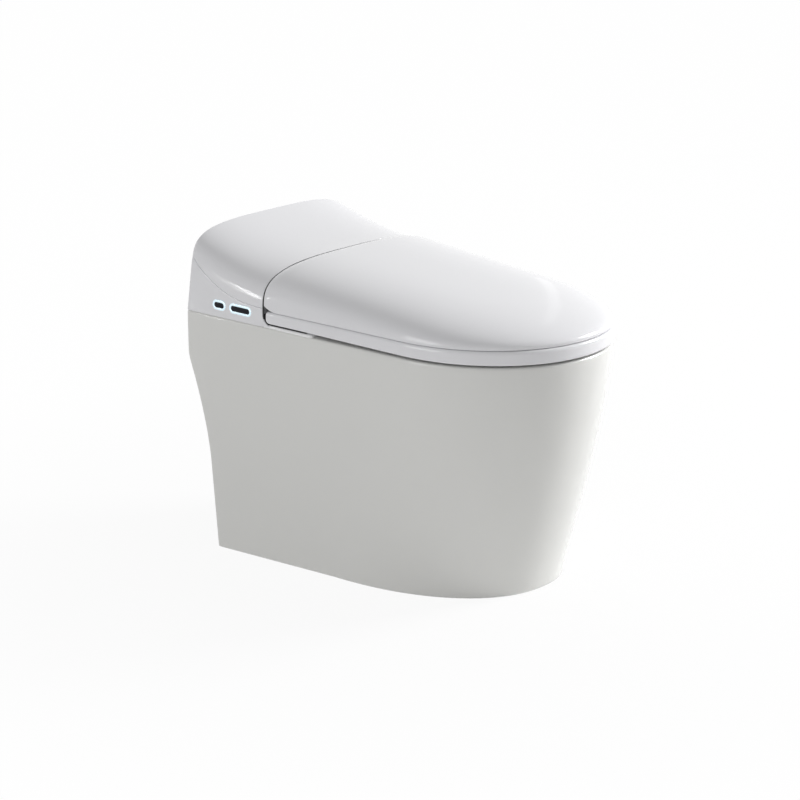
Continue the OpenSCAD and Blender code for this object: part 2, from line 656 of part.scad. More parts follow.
module lid_bumpers() {
  color([0.85, 0.85, 0.85]) for (p = pad_places, x = [-1, 1])
    translate([x * p[0], p[1], seat_z1 + fit_gap]) cylinder(r = 7, h = liner_z0 - seat_z1 - fit_gap);
}

// Wash nozzle, drawn along its own axis: X across, Y out of the back of the tube, Z up from it
nozzle_tip_y = seam_y - 80;
nozzle_tip_z = rim_h - 18;
module on_nozzle() {
  translate([0, nozzle_tip_y, nozzle_tip_z]) rotate([nozzle_tilt, 0, 0]) children();
}
module nozzle_tube(r, y0, y1) {
  translate([0, y0, 0]) rotate([-90, 0, 0]) cylinder(r = r, h = y1 - y0);
}

module nozzle_housing() {
  color([0.85, 0.85, 0.86]) difference() {
    on_nozzle() union() {
      difference() {
        block(-19, 19, 34, 178, -14, 14);
        nozzle_tube(nozzle_r + run_gap, 33, 172);
        // Slot for the rack under the tube
        block(-3.4, 3.4, 33, 172, -13, 0);
        // Pocket for the pinion
        block(-7, 20, 120, 142, -15, -8);
      }
      block(-19, 19, 34, 44, 12, 14);
    }
    block(-30, 30, 60, 300, deck_z - 40, rim_h - 12.5);
  }
}

module wash_nozzle() {
  color([0.93, 0.94, 0.95]) on_nozzle() difference() {
    union() {
      nozzle_tube(nozzle_r, 5, nozzle_l - 10);
      nozzle_tube(nozzle_r - 2, 0, 6);
      // Rack that the pinion drives
      block(-3, 3, 50, nozzle_l - 12, -nozzle_r - 2.6, -nozzle_r + 1.5);
    }
    // Water way and jets
    nozzle_tube(3.5, 10, nozzle_l);
    for (k = [0:2]) translate([0, 14 + 5 * k, 0]) cylinder(r = 1.1, h = nozzle_r + 1);
  }
}

module nozzle_motor() {
  color([0.25, 0.25, 0.27]) on_nozzle() {
    translate([19, 131, -2]) rotate([0, 90, 0]) cylinder(r = 13, h = 11);
    block(19, 22, 112, 150, -8, 6);
  }
}

// Air fans: a drum on the plate, a wheel in it and a duct under the plate
duct_z1 = rim_h - 4;
duct_z0 = duct_z1 - duct_h;
duct_y0 = seam_y - 103;
duct_y1 = fan_y + 18;
module fan_drum() {
  difference() {
    union() {
      translate([0, fan_y, deck_z]) cylinder(r = fan_r, h = fan_h);
      translate([0, fan_y, deck_z + fan_h]) cylinder(r = 13, h = 20);
    }
    translate([0, fan_y, deck_z + 2.5]) cylinder(r = fan_r - 2.5, h = fan_h - 5);
    translate([0, fan_y, deck_z - 1]) cylinder(r = 12, h = 5);
    // Inlet slots round the motor
    for (a = [0:60:300]) translate([0, fan_y, deck_z + fan_h - 4]) rotate([0, 0, a]) block(15, 27, -4, 4, 0, 6);
    translate([0, fan_y, deck_z + fan_h - 3]) cylinder(r = 2.5 + run_gap, h = 16);
  }
}

module fan_wheel() {
  translate([0, fan_y, deck_z + 6]) {
    cylinder(r = 26, h = 1.6);
    cylinder(r = 6, h = 22);
    cylinder(r = 2.5, h = fan_h - 6 + 8);
    for (a = [0:30:330]) rotate([0, 0, a]) translate([17, -0.7, 0]) rotate([0, 0, 25]) cube([9.5, 1.4, 20]);
  }
}

module air_duct() {
  difference() {
    union() {
      block(-duct_w / 2, duct_w / 2, duct_y0, duct_y1, duct_z0, duct_z1);
      translate([0, fan_y, duct_z1 - 1]) cylinder(r = 13.6, h = deck_z - duct_z1 + 1);
      // Cheeks that hold the pin of a flap
      for (x = [-1, 1]) block(min(0, x) * 2 + x * (duct_w / 2 - 1) - min(0, x) * 1 - 0.5,
        min(0, x) * 2 + x * (duct_w / 2 - 1) - min(0, x) * 1 + 1.5, duct_y0 - 4, duct_y0 + 1, duct_z1 - 8, duct_z1);
    }
    block(2 - duct_w / 2, duct_w / 2 - 2, duct_y0 - 1, duct_y1 - 2, duct_z0 + 2, duct_z1 - 2);
    translate([0, fan_y, duct_z1 - 3]) cylinder(r = 11.6, h = 14);
  }
}
flap_y = duct_y0 - 2.4;
flap_z = duct_z1 - 2.4;

module dryer_duct() {
  color([0.8, 0.8, 0.8]) difference() {
    translate([duct_x, 0, 0]) air_duct();
    translate([0, flap_y, flap_z]) rotate([0, 90, 0]) cylinder(r = 1.4 + run_gap, h = body_w / 2);
  }
}

module dryer_blower() {
  color([0.75, 0.75, 0.76]) translate([duct_x, 0, 0]) fan_drum();
}

module dryer_impeller() {
  color([0.3, 0.3, 0.32]) translate([duct_x, 0, 0]) fan_wheel();
}

module dryer_flap() {
  w = duct_w / 2 - 2.2;
  color([0.93, 0.94, 0.95]) translate([duct_x, 0, 0]) {
    translate([-duct_w / 2 + 0.3, flap_y, flap_z]) rotate([0, 90, 0]) cylinder(r = 1.4, h = duct_w - 0.6);
    block(-w, w, flap_y - 1, flap_y + 1, duct_z0 + 1, flap_z - 1);
  }
}

module deodorizer_duct() {
  color([0.8, 0.8, 0.8]) translate([-duct_x, 0, 0]) air_duct();
}

module deodorizer_fan() {
  color([0.75, 0.75, 0.76]) translate([-duct_x, 0, 0]) fan_drum();
}

module deodorizer_wheel() {
  color([0.3, 0.3, 0.32]) translate([-duct_x, 0, 0]) fan_wheel();
}

module carbon_filter() {
  color([0.15, 0.15, 0.15]) translate([-duct_x, 0, 0]) difference() {
    block(2.2 - duct_w / 2, duct_w / 2 - 2.2, fan_y - 34, fan_y - 18, duct_z0 + 2.2, duct_z1 - 2.2);
    for (x = [-10:5:10], z = [5:5:15]) block(x - 1.6, x + 1.6, fan_y - 35, fan_y - 17, duct_z0 + z + 0.4, duct_z0 + z + 3.6);
  }
}

// Water, air pump and power
inner_x = body_w / 2 - 27;
inner_y = seam_y + 34;
module heater_tank() {
  color([0.88, 0.87, 0.82]) translate([-inner_x, inner_y, deck_z]) {
    block(0, tank_w, 0, tank_l, 0, tank_h);
    block(4, tank_w - 4, 4, tank_l - 4, tank_h, tank_h + 6);
    // Water pipes and the cut-out switch
    for (x = [-16, 16]) translate([tank_w / 2 + x, tank_l * 0.25, tank_h + 6]) cylinder(r = 5, h = 12);
    translate([tank_w / 2, tank_l * 0.72, tank_h + 6]) cylinder(r = 12, h = 8);
  }
}

module inlet_valve() {
  color([0.35, 0.36, 0.4]) {
    block(inlet_x - 15, inlet_x + 15, rear_y - 50, rear_y - 20, deck_z, deck_z + 42);
    translate([inlet_x, rear_y - 35, deck_z + 42]) cylinder(r = 11, h = 18);
  }
}

module inlet_connector() {
  color([0.78, 0.79, 0.8]) translate([inlet_x, 0, inlet_z]) rotate([-90, 0, 0]) difference() {
    union() {
      translate([0, 0, rear_y - 20]) cylinder(r = 14, h = 4, $fn = 6);
      translate([0, 0, rear_y - 16]) cylinder(r = inlet_r, h = 15);
    }
    translate([0, 0, rear_y - 21]) cylinder(r = 7, h = 21);
  }
}

module air_pump() {
  color([0.3, 0.32, 0.36]) {
    block(-58, -24, seam_y + 102, seam_y + 150, deck_z, deck_z + 34);
    translate([-41, seam_y + 126, deck_z + 34]) cylinder(r = 13, h = 12);
  }
}

module power_supply() {
  color([0.8, 0.8, 0.78]) translate([inner_x - supply_w, inner_y, deck_z]) difference() {
    block(0, supply_w, 0, supply_l, 0, supply_h);
    for (k = [0:7]) block(8, supply_w - 8, supply_l * (k + 1) / 10, supply_l * (k + 1) / 10 + 4, supply_h - 3, supply_h + 1);
  }
}

module control_board() {
  w = supply_w - 4;
  l = supply_l - 12;
  color([0.1, 0.4, 0.2]) translate([inner_x - supply_w + 2, inner_y + 6, deck_z + supply_h]) {
    block(0, w, 0, l, 8, 9.6);
    for (x = [4, w - 4], y = [4, l - 4]) translate([x, y, 0]) cylinder(r = 3, h = 8);
    block(10, 30, 20, 40, 9.6, 12);
    for (y = [10, 56, 70]) block(w - 26, w - 8, y, y + 8, 9.6, 18);
    for (y = [52, 64, 76]) translate([16, y, 9.6]) cylinder(r = 4, h = 12);
  }
}

module cord_gland() {
  color([0.15, 0.15, 0.15]) translate([gland_x, 0, inlet_z]) rotate([-90, 0, 0]) difference() {
    union() {
      translate([0, 0, rear_y - 9.2]) cylinder(r = 12, h = 6);
      translate([0, 0, rear_y - 4]) cylinder(r = 9, h = 4);
    }
    translate([0, 0, rear_y - 10]) cylinder(r = 4, h = 11);
  }
}

// Keys on the side
function key_face(y) = house_x(y - seam_y, key_z);
module pill(y, l, h, x_out, x_in) {
  along_x(-x_out, -x_in) translate([y, key_z]) stadium(l, h);
}

module key_bezel(y, l) {
  f = key_face(y);
  color([0.75, 0.85, 0.95]) difference() {
    pill(y, l + 2 * bezel_w - 0.2, key_h + 2 * bezel_w - 0.2, f + 0.5, f - 6);
    pill(y, l + 2 * fit_gap, key_h + 2 * fit_gap, f + 2, f - 8);
  }
}

module key_cap(y, l) {
  f = key_face(y);
  color([0.05, 0.05, 0.06]) {
    pill(y, l, key_h, f + 0.9, f - 8);
    pill(y, l + 4, key_h + 4, f - 6.4, f - 8);
    along_x(-f + 7, -switch_x) translate([y, key_z]) circle(3);
  }
}
switch_x = key_face(key_y1) - 9.5;
key_travel = 1.2;

module key_bezel_large() {
  key_bezel(key_y1, key_long);
}

module key_bezel_small() {
  key_bezel(key_y2, key_short);
}

module key_large() {
  key_cap(key_y1, key_long);
}

module key_small() {
  key_cap(key_y2, key_short);
}

module key_board() {
  color([0.1, 0.4, 0.2]) {
    block(5.2 - switch_x, 6.8 - switch_x, key_y1 - key_long / 2 - 3, key_y2 + key_short / 2 + 3, deck_z, key_z + 9);
    for (y = [key_y1, key_y2]) {
      block(2.8 - switch_x, 5.2 - switch_x, y - 4, y + 4, key_z - 4, key_z + 4);
      along_x(key_travel + 0.1 - switch_x, 2.8 - switch_x) translate([y, key_z]) circle(1.8);
    }
  }
}

ceramic_pan();
outlet_seal();
base_plate();
base_bolts();
side_panel_right();
side_panel_left();
rear_cover();
front_bulkhead();
back_panel();
hinge_pedestal();
seat_actuator();
lid_actuator();
seat_top();
seat_base();
seat_heater();
seat_bumpers();
seat_hinge_arms();
seat_drive_shaft();
lid_shell();
lid_liner();
lid_bumpers();
lid_hinge_lugs();
lid_drive_shaft();
nozzle_housing();
wash_nozzle();
nozzle_motor();
dryer_duct();
dryer_blower();
dryer_impeller();
dryer_flap();
deodorizer_duct();
deodorizer_fan();
deodorizer_wheel();
carbon_filter();
heater_tank();
inlet_valve();
inlet_connector();
air_pump();
power_supply();
control_board();
cord_gland();
key_bezel_large();
key_bezel_small();
key_large();
key_small();
key_board();
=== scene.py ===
# %% [markdown]
# # A smart toilet in Blender
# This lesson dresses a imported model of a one-piece smart toilet: a glazed pan with a straight skirt,
# a ring seat, a domed lid, and a raised housing at the back with two keys in its side.
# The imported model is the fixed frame, so each new piece takes its place from a node of that frame.

# %% Load the frame
import json
import math
import bpy
import bmesh
from mathutils import Matrix, Vector


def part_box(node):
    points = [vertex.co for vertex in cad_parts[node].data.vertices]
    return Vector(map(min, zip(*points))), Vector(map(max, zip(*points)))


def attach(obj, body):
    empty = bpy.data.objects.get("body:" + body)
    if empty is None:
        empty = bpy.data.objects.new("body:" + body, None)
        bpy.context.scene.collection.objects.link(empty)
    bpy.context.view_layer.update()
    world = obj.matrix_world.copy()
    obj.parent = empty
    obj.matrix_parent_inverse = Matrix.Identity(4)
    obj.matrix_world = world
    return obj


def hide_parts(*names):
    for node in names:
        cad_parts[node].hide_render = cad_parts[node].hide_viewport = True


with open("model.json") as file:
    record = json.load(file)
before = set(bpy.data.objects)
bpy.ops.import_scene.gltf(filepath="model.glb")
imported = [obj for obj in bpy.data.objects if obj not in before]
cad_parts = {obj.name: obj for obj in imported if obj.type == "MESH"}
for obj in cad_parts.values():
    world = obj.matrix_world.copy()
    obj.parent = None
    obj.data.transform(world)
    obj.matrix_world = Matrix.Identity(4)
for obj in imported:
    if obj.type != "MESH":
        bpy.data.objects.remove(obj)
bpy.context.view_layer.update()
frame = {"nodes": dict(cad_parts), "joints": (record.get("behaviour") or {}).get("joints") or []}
node = frame["nodes"]

# %% [markdown]
# The photograph was taken with a long lens, from a little above the lid and off one front corner of
# the toilet. The camera is aimed at a point inside the pan. Its place is worked out from two angles
# and a distance, which is easier to read and to correct than three coordinates.

# %% Camera
# The focal length and the image's side are in pixels of the photograph
FOCAL = 3000.0
IMAGE = 800.0
PIXELS_PER_MM = 0.63 / 1.02564
azimuth = math.radians(-48.6)
elevation = math.radians(16.36)
distance = FOCAL / PIXELS_PER_MM / 1000
# The pixel that the aimed point falls on
aim = Vector((0, -0.0401, 0.2564))
middle_x, middle_y = 442.43, 409.97

flat = math.cos(elevation)
back = Vector((math.sin(azimuth) * flat, -math.cos(azimuth) * flat, math.sin(elevation)))
right = Vector((math.cos(azimuth), math.sin(azimuth), 0))
up = back.cross(right)
eye = aim + back * distance
eye -= right * (middle_x - IMAGE / 2) / FOCAL * distance
eye += up * (middle_y - IMAGE / 2) / FOCAL * distance

camera_data = bpy.data.cameras.new("camera")
camera_data.sensor_width = 36
camera_data.lens = FOCAL / IMAGE * camera_data.sensor_width
camera_data.clip_end = 50
camera = bpy.data.objects.new("camera", camera_data)
bpy.context.scene.collection.objects.link(camera)
camera.matrix_world = Matrix.Translation(eye) @ Matrix((right, up, back)).transposed().to_4x4()
bpy.context.scene.camera = camera
print("camera", round(distance, 3), "m away, lens", camera_data.lens)

# %% [markdown]
# All the outer forms of this toilet are smooth sheets. Each can be pressed out of a flat grid: the
# grid's columns run round the piece and its rows run along it, and a formula says where each point
# goes. A grid bent until its edges meet is then stitched by merging its double points.

# %% Press a grid into a piece
CREASE = math.radians(38)
MERGE = 1e-5


def as_object(bm, name):
    mesh = bpy.data.meshes.new(name)
    bm.to_mesh(mesh)
    bm.free()
    made = bpy.data.objects.new(name, mesh)
    bpy.context.scene.collection.objects.link(made)
    return made


def finish_mesh(bm, name):
    """Close doubles, face outwards, keep sharp creases sharp, and make an object of the mesh."""
    bmesh.ops.remove_doubles(bm, verts=bm.verts, dist=MERGE)
    bmesh.ops.recalc_face_normals(bm, faces=bm.faces)
    smooth_mesh(bm)
    return as_object(bm, name)


def smooth_mesh(bm):
    for face in bm.faces:
        face.smooth = True
    for edge in bm.edges:
        edge.smooth = len(edge.link_faces) == 2 and edge.calc_face_angle(0) < CREASE


def press(rows, into=None):
    """Press a flat grid onto rows of points, all of one length."""
    bm = into or bmesh.new()
    columns = len(rows[0])
    made = bmesh.ops.create_grid(bm, x_segments=columns - 1, y_segments=len(rows) - 1, size=1)["verts"]
    for vert in made:
        column = round((vert.co.x + 1) / 2 * (columns - 1))
        row = round((vert.co.y + 1) / 2 * (len(rows) - 1))
        vert.co = rows[row][column]
    return bm


def cap_ends(bm):
    """Close the ends of a strip whose first and last rows are the same."""
    bmesh.ops.remove_doubles(bm, verts=bm.verts, dist=MERGE)
    bmesh.ops.holes_fill(bm, edges=[e for e in bm.edges if e.is_boundary], sides=8)
    return bm


print("edges stay sharp from", round(math.degrees(CREASE)), "degrees")

# %% [markdown]
# A pressed sheet gets its wall from a Solidify, its round edges from a bevel, and its openings from
# cutters, which are closed solids that a Boolean takes out.

# %% Thicken, round and cut
# Edges that turn by more radians than SHARP can be rounded, and points within NEAR of a plane lie on it
SHARP, NEAR = 0.8, 0.0002


def edit(piece, change):
    """Take a piece's mesh, change it and put it back."""
    bm = bmesh.new()
    bm.from_mesh(piece.data)
    change(bm)
    bm.to_mesh(piece.data)
    bm.free()
    return piece


def settle(piece, *modifiers):
    """Add modifiers given as (type, settings) and keep their result as the piece's mesh."""
    for kind, settings in modifiers:
        modifier = piece.modifiers.new(kind.lower(), kind)
        for key, value in settings.items():
            setattr(modifier, key, value)
    graph = bpy.context.evaluated_depsgraph_get()
    mesh = bpy.data.meshes.new_from_object(piece.evaluated_get(graph))
    old = piece.data
    piece.modifiers.clear()
    piece.data = mesh
    bpy.data.meshes.remove(old)
    return edit(piece, smooth_mesh)


def push(bm, faces, by):
    """Extrude faces and move what comes out of them."""
    pushed = bmesh.ops.extrude_face_region(bm, geom=faces)["geom"]
    bmesh.ops.translate(bm, vec=by, verts=[v for v in pushed if isinstance(v, bmesh.types.BMVert)])


def round_off(bm, edges, width, segments=4):
    bmesh.ops.bevel(bm, geom=edges, offset=width, segments=segments, profile=0.5, affect="EDGES", material=-1)


def soften(piece, width, chosen):
    """Round the sharp edges whose middle point is chosen."""
    def change(bm):
        sharp = [e for e in bm.edges if e.calc_face_angle(0) > SHARP]
        round_off(bm, [e for e in sharp if chosen((e.verts[0].co + e.verts[1].co) / 2)], width)
        smooth_mesh(bm)
    return edit(piece, change)


def cutter(name, build):
    """A closed solid, made by a build step, to take out of a piece."""
    bm = bmesh.new()
    build(bm)
    bmesh.ops.recalc_face_normals(bm, faces=bm.faces)
    return as_object(bm, name)


def close_slivers(bm):
    bmesh.ops.holes_fill(bm, edges=[e for e in bm.edges if e.is_boundary], sides=3)


def carve(piece, tools):
    """Take the tools' solids out of the piece, and close any sliver that this leaves open."""
    settle(piece, *[("BOOLEAN", dict(operation="DIFFERENCE", solver="EXACT", object=tool)) for tool in tools])
    for tool in tools:
        bpy.data.objects.remove(tool)
    return edit(piece, close_slivers)


print("bevels take edges that turn by more than", round(math.degrees(SHARP)), "degrees")

# %% [markdown]
# The plan of the pan, the seat and the lid is one family of curves: straight sides that spread a
# little towards the wall, and a round front drawn by a superellipse, which is slightly squarer than
# a true ellipse. The same few sizes, read from the frame, drive all of them.

# %% Sizes that drive the forms
pan_low, pan_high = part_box("ceramic_pan")
seat_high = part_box("seat_top")[1]
base_low, base_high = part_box("seat_base")
lid_low, lid_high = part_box("lid_shell")
cover_low, cover_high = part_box("rear_cover")
joints = {joint["name"]: joint for joint in frame["joints"]}
hinge = Vector(joints["seat_hinge"]["pos_m"])

rim = pan_high.z
rear = pan_high.y
front = pan_low.y - 0.002
seam = lid_high.y
nose = front + 0.222
wide = pan_high.x
narrow = 0.2
POWER = 2.06
seat_top = seat_high.z
lid_base = lid_low.z
crown = rim + 0.104
CORNER = 0.005
print("seam at", round(seam, 4), "rim at", round(rim, 4), "length", round(rear - front, 4))


def side(y):
    """Half width of the rim and the seat along the straight sides."""
    return narrow + (wide - narrow) * (y - nose) / (rear - nose)


def arc(start, end, count):
    """Angles in radians, in even steps between two angles in degrees."""
    return [math.radians(start + (end - start) * i / count) for i in range(count + 1)]


def half_plan(back_half, front_half, y_back, y_straight, y_tip, power, corner):
    """Half an outline, from the middle of the back to the tip, in even steps along each stretch."""
    points = [(back_half * u, y_back) for u in (0, 0.25, 0.5, 0.72, 0.86)]
    points += [(back_half - corner * (1 - math.cos(a)), y_back - corner * (1 - math.sin(a)))
               for a in arc(90, 0, 8)]
    low = y_back - corner
    for i in range(1, 17):
        y = low + (y_straight - low) * i / 16
        points.append((back_half + (front_half - back_half) * i / 16, y))
    for a in arc(0, 90, 44)[1:]:
        points.append((front_half * abs(math.cos(a)) ** (2 / power),
                       y_straight - (y_straight - y_tip) * math.sin(a) ** (2 / power)))
    points[-1] = (0, y_tip)
    return points


def outline(*sizes):
    """The whole outline: half a plan and its mirror."""
    half = half_plan(*sizes)
    return half + [(-x, y) for x, y in reversed(half[:-1])]


def level(points, z):
    return [Vector((x, y, z)) for x, y in points]


# %% [markdown]
# The pan is one glazed casting. From the rim its skirt runs straight down at the back, leans in
# towards the foot at the front, and steps in behind to clear the wall's pipes. One grid makes it
# all: the rows go from the sump up the bowl, over the rim, down the skirt and up inside it again.

# %% Pan
WALL = 0.012
RIM_ROUND = 0.004
bowl_half, bowl_reach, bowl_deep = 0.142, 0.175, 0.31
bowl_y = front + 0.035 + bowl_reach
sump = rim - bowl_deep
# How far the sump lies behind the middle of the bowl's mouth
SHIFT = 0.008
foot_half, foot_back, foot_ahead = 0.185, 0.088, 0.058


def lean(z):
    """How far the skirt has drawn in at a height, from 0 at the rim to 1 at the foot."""
    t = max(0.0, 1 - z / rim)
    return 1.06 * t ** 1.4 - 0.06 * t ** 14


BEND_Z = rim * 0.81
SLANT = 0.026


def back_step(z):
    """How far the skirt's back stands forward at a height, to clear the pipes."""
    low = BEND_Z * 0.46
    if z > BEND_Z:
        return 0.0
    rise = max(0.0, (z - low) / (BEND_Z - low))
    return foot_ahead - SLANT * z / BEND_Z - (foot_ahead - SLANT) * rise ** 1.7


def skirt(z, inset=0.0):
    """The skirt's outline at a height, drawn in by an inset."""
    k = lean(z)
    points = outline(wide - 0.005 * k - inset, narrow - 0.002 - (narrow - 0.002 - foot_half) * k - inset,
                     rear - back_step(z) - inset, nose + 0.15 * k,
                     front + 0.002 + (foot_back - 0.002) * k + inset,
                     POWER + 0.14 * k, max(0.003, CORNER - inset))
    return level(points, z)


def skirt_at(z, inset, height):
    """The outline of one height, laid at another."""
    return [Vector((p.x, p.y, height)) for p in skirt(z, inset)]


rim_plan = skirt(rim)
bowl_angles = [math.atan2((p.y - bowl_y) / bowl_reach, p.x / bowl_half) for p in rim_plan]


def bowl_ring(width, length, shift, z, grow=0.0):
    """A ring of the bowl at shares of its width and length, with a point for each of the rim's."""
    a, b = bowl_half * width + grow, bowl_reach * length + grow
    return [Vector((a * math.cos(t), bowl_y + shift + b * math.sin(t), z)) for t in bowl_angles]


def ease(stops, t):
    """The values at t, on straight lines between stops that are each a place and its values."""
    for (x0, *v0), (x1, *v1) in zip(stops, stops[1:]):
        if x0 <= t <= x1:
            s = (t - x0) / (x1 - x0)
            return [a + (b - a) * s for a, b in zip(v0, v1)]
    return list(stops[-1][1:])


# Shares of the bowl's height, width and length, and the steps over which they are averaged
BOWL_STOPS = [(0, 0.24, 0.24), (0.14, 0.38, 0.36), (0.32, 0.56, 0.5), (0.55, 0.8, 0.82),
              (0.8, 0.93, 0.95), (0.985, 0.965, 0.972), (1, 0.985, 0.99)]
SPREAD = (-0.06, -0.03, 0, 0.03, 0.06)


def bowl_at(t, grow=0.0):
    near = [ease(BOWL_STOPS, min(1, max(0, t + d))) for d in SPREAD]
    width, length = [sum(v) / len(SPREAD) for v in zip(*near)]
    return bowl_ring(width, length, SHIFT * (1 - t), sump + bowl_deep * t, grow)


def pole(y, z):
    """A row whose points all meet in one, to close the grid."""
    return [Vector((0, y, z))] * len(rim_plan)


pan_rows = [pole(bowl_y + SHIFT, sump - 0.001)]
pan_rows += [bowl_ring(0.24 * k, 0.24 * k, SHIFT, sump - 0.001 * (1 - k ** 2)) for k in (0.4, 0.75)]
pan_rows += [bowl_at(i / 30) for i in range(30)]
for a in arc(0, 90, 5):
    turn = 1 - math.cos(a)
    pan_rows.append(bowl_ring(0.985 + 0.02 * turn, 0.99 + 0.016 * turn, 0, rim - 0.006 * (1 - math.sin(a))))
pan_rows.append(skirt(rim, 0.009))
for a in arc(0, 90, 5):
    pan_rows.append(skirt_at(rim, RIM_ROUND * (1 - math.sin(a)), rim - RIM_ROUND * (1 - math.cos(a))))
pan_rows += [skirt(rim * (1 - i / 34)) for i in range(1, 34)]
pan_rows += [skirt(0.004), skirt(0.0012, 0.0008), skirt(0, 0.0025), skirt(0, WALL)]
pan_rows += [skirt(BEND_Z * i / 12, WALL) for i in range(1, 13)]
pan_rows.append(skirt(rim - WALL, WALL))
pan_rows += [bowl_at(i / 10, WALL) for i in range(9, -1, -1)]
pan_rows += [bowl_ring(0.26 * k, 0.26 * k, SHIFT, sump - WALL) for k in (1, 0.5)]
pan_rows.append(pole(bowl_y + SHIFT, sump - WALL))
pan = finish_mesh(press(pan_rows), "pan_glazed")
print("pan rows", len(pan_rows), "columns", len(rim_plan))

# %% [markdown]
# The pan's deck is open under the housing. A channel leads from there to the bowl for the nozzle and
# the dryer, and the back has an opening for the pipes.

# %% Openings in the pan


def brick(low, high, round_by=0.0, axis=None):
    """A cutter's build step: a cube between two corners, its edges along one axis rounded."""
    def build(bm):
        made = bmesh.ops.create_cube(bm, size=1)["verts"]
        size = Vector(high) - Vector(low)
        bmesh.ops.scale(bm, vec=size, verts=made)
        bmesh.ops.translate(bm, vec=(Vector(high) + Vector(low)) / 2, verts=made)
        if round_by:
            edges = [e for e in bm.edges if abs((e.verts[0].co - e.verts[1].co).normalized()[axis]) > 0.9]
            round_off(bm, edges, round_by, 8)
    return build


deck_front = seam + 0.024
service_z = rim * 0.42
carve(pan, [
    cutter("deck_hole", brick((-0.165, deck_front, rim - 0.06), (0.165, rear - 0.024, rim + 0.01), 0.012, 2)),
    cutter("duct_channel", brick((-0.088, bowl_y + bowl_reach - 0.014, rim - 0.0583),
                                 (0.088, deck_front + 0.0113, rim + 0.0117), 0.008, 2)),
    cutter("service_hole", brick((-0.115, rear - foot_ahead - 0.04, service_z - 0.12),
                                 (0.115, rear + 0.01, service_z + 0.12), 0.02, 1)),
])
print("pan faces", len(pan.data.polygons))

# %% [markdown]
# The trapway is a bent pipe in the same china. It climbs from the back of the sump to the weir that
# holds the water in the bowl, and falls to the drain, where it widens to a horn. It is seen through
# the opening in the pan's back. Its rows run down its outside and back along its bore.

# %% Trapway
seal_low, seal_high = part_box("outlet_seal")
OUTLET = (seal_low.y + seal_high.y) / 2
HORN = seal_high.x - 0.01
TRAP, TRAP_WALL, RISE = 0.026, 0.009, math.radians(37)
BEND = TRAP + TRAP_WALL + 0.011
HOOP = 40
# How far the horn's mouth is above the floor, and how tall the step is where the pipe widens
MOUTH, STEP = seal_low.z + 0.0122, 0.006
trap_start = Vector((0, bowl_y + 0.035, sump + 0.016))
slope = Vector((0, math.cos(RISE), math.sin(RISE)))
climb = (OUTLET - trap_start.y - BEND * (1 + math.sin(RISE))) / math.cos(RISE)
weir = trap_start + slope * climb + BEND * Vector((0, math.sin(RISE), -math.cos(RISE)))


def hoop(middle, turn, radius):
    """A ring of points square to a path that runs at an angle above the back."""
    lift = Vector((0, -math.sin(turn), math.cos(turn)))
    spokes = [math.cos(a) * Vector((1, 0, 0)) + math.sin(a) * lift for a in arc(0, 360, HOOP)]
    return [middle + radius * spoke for spoke in spokes]


def upright(z, radius):
    """A ring in the pipe's last, upright stretch."""
    return hoop(Vector((0, OUTLET, z)), -math.pi / 2, radius)


def trap_rows(radius, horn, step):
    """Rows from the sump over the weir to the drain, where the pipe steps out to the horn."""
    rows = [hoop(trap_start + slope * climb * i / 8, RISE, radius) for i in range(8)]
    for a in arc(90 + math.degrees(RISE), 0, 24):
        rows.append(hoop(weir + BEND * Vector((0, math.cos(a), math.sin(a))), a - math.pi / 2, radius))
    rows += [upright(weir.z + (step + STEP - weir.z) * i / 5, radius) for i in range(1, 6)]
    for a in arc(15, 90, 5):
        rows.append(upright(step + STEP * math.cos(a), radius + (horn - radius) * math.sin(a)))
    return rows + [upright(MOUTH, horn)]


def weld(bm, rows):
    press(rows, bm)
    bmesh.ops.remove_doubles(bm, verts=bm.verts, dist=MERGE)


def bowl_room(bm):
    rings = [bowl_at(i / 12, 0.004) for i in range(13)]
    weld(bm, [pole(bowl_y + SHIFT, sump - 0.004)] + rings + [pole(bowl_y, rim)])


def bore(bm):
    ends = [trap_start - slope * 0.001, trap_start + slope * climb * 0.9]
    rings = [hoop(end, RISE, TRAP + 0.0003) for end in ends]
    weld(bm, [[ends[0]] * (HOOP + 1)] + rings + [[ends[1]] * (HOOP + 1)])


pipe_rows = trap_rows(TRAP + TRAP_WALL, HORN, 0.07)
pipe_rows += trap_rows(TRAP, HORN - 0.0075, 0.056)[::-1]
pipe_rows.append(pipe_rows[0])
trapway = finish_mesh(press(pipe_rows), "trapway")
carve(trapway, [cutter("bowl_room", bowl_room)])
carve(pan, [cutter("bore", bore)])
for piece in (pan, trapway):
    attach(piece, "frame")
print("trapway climbs", round(climb, 3), "m to a weir at", round(weir.z + BEND, 3))

# %% [markdown]
# The seat is a flat ring with a rolled outer edge that falls towards the hole. Its upper shell turns
# in under the edge, where the lower shell closes it, so that no joint shows from outside. Both are cut
# away at the back for the powered hinge.

# %% Seat
hole_y = front + 0.058 + 0.146
hole_half, hole_reach = 0.107, 0.146
seat_rear = seam - 0.001
SPLIT = base_high.z


def seat_plan(inset=0.0):
    sizes = (side(seat_rear) - inset, narrow - inset, seat_rear - inset, nose, front + inset)
    return level(outline(*sizes, POWER, 0.006), 0)


seat_outline = seat_plan()
hole_angles = [math.atan2((p.y - hole_y) / hole_reach, p.x / hole_half) for p in seat_outline]
hole_line = [Vector((hole_half * math.cos(t), hole_y + hole_reach * math.sin(t), 0)) for t in hole_angles]


def seat_ring(share, z, out=0.0):
    """The ring that lies at a share of the way from the outline to the hole."""
    edge = seat_plan(-out) if out else seat_outline
    return [Vector((a.x + (b.x - a.x) * share, a.y + (b.y - a.y) * share, z))
            for a, b in zip(edge, hole_line)]


# How far the upper shell turns in under the edge, and the radius it turns in with
LIP, TURN_IN = 0.0045, 0.0022
low_z = base_low.z
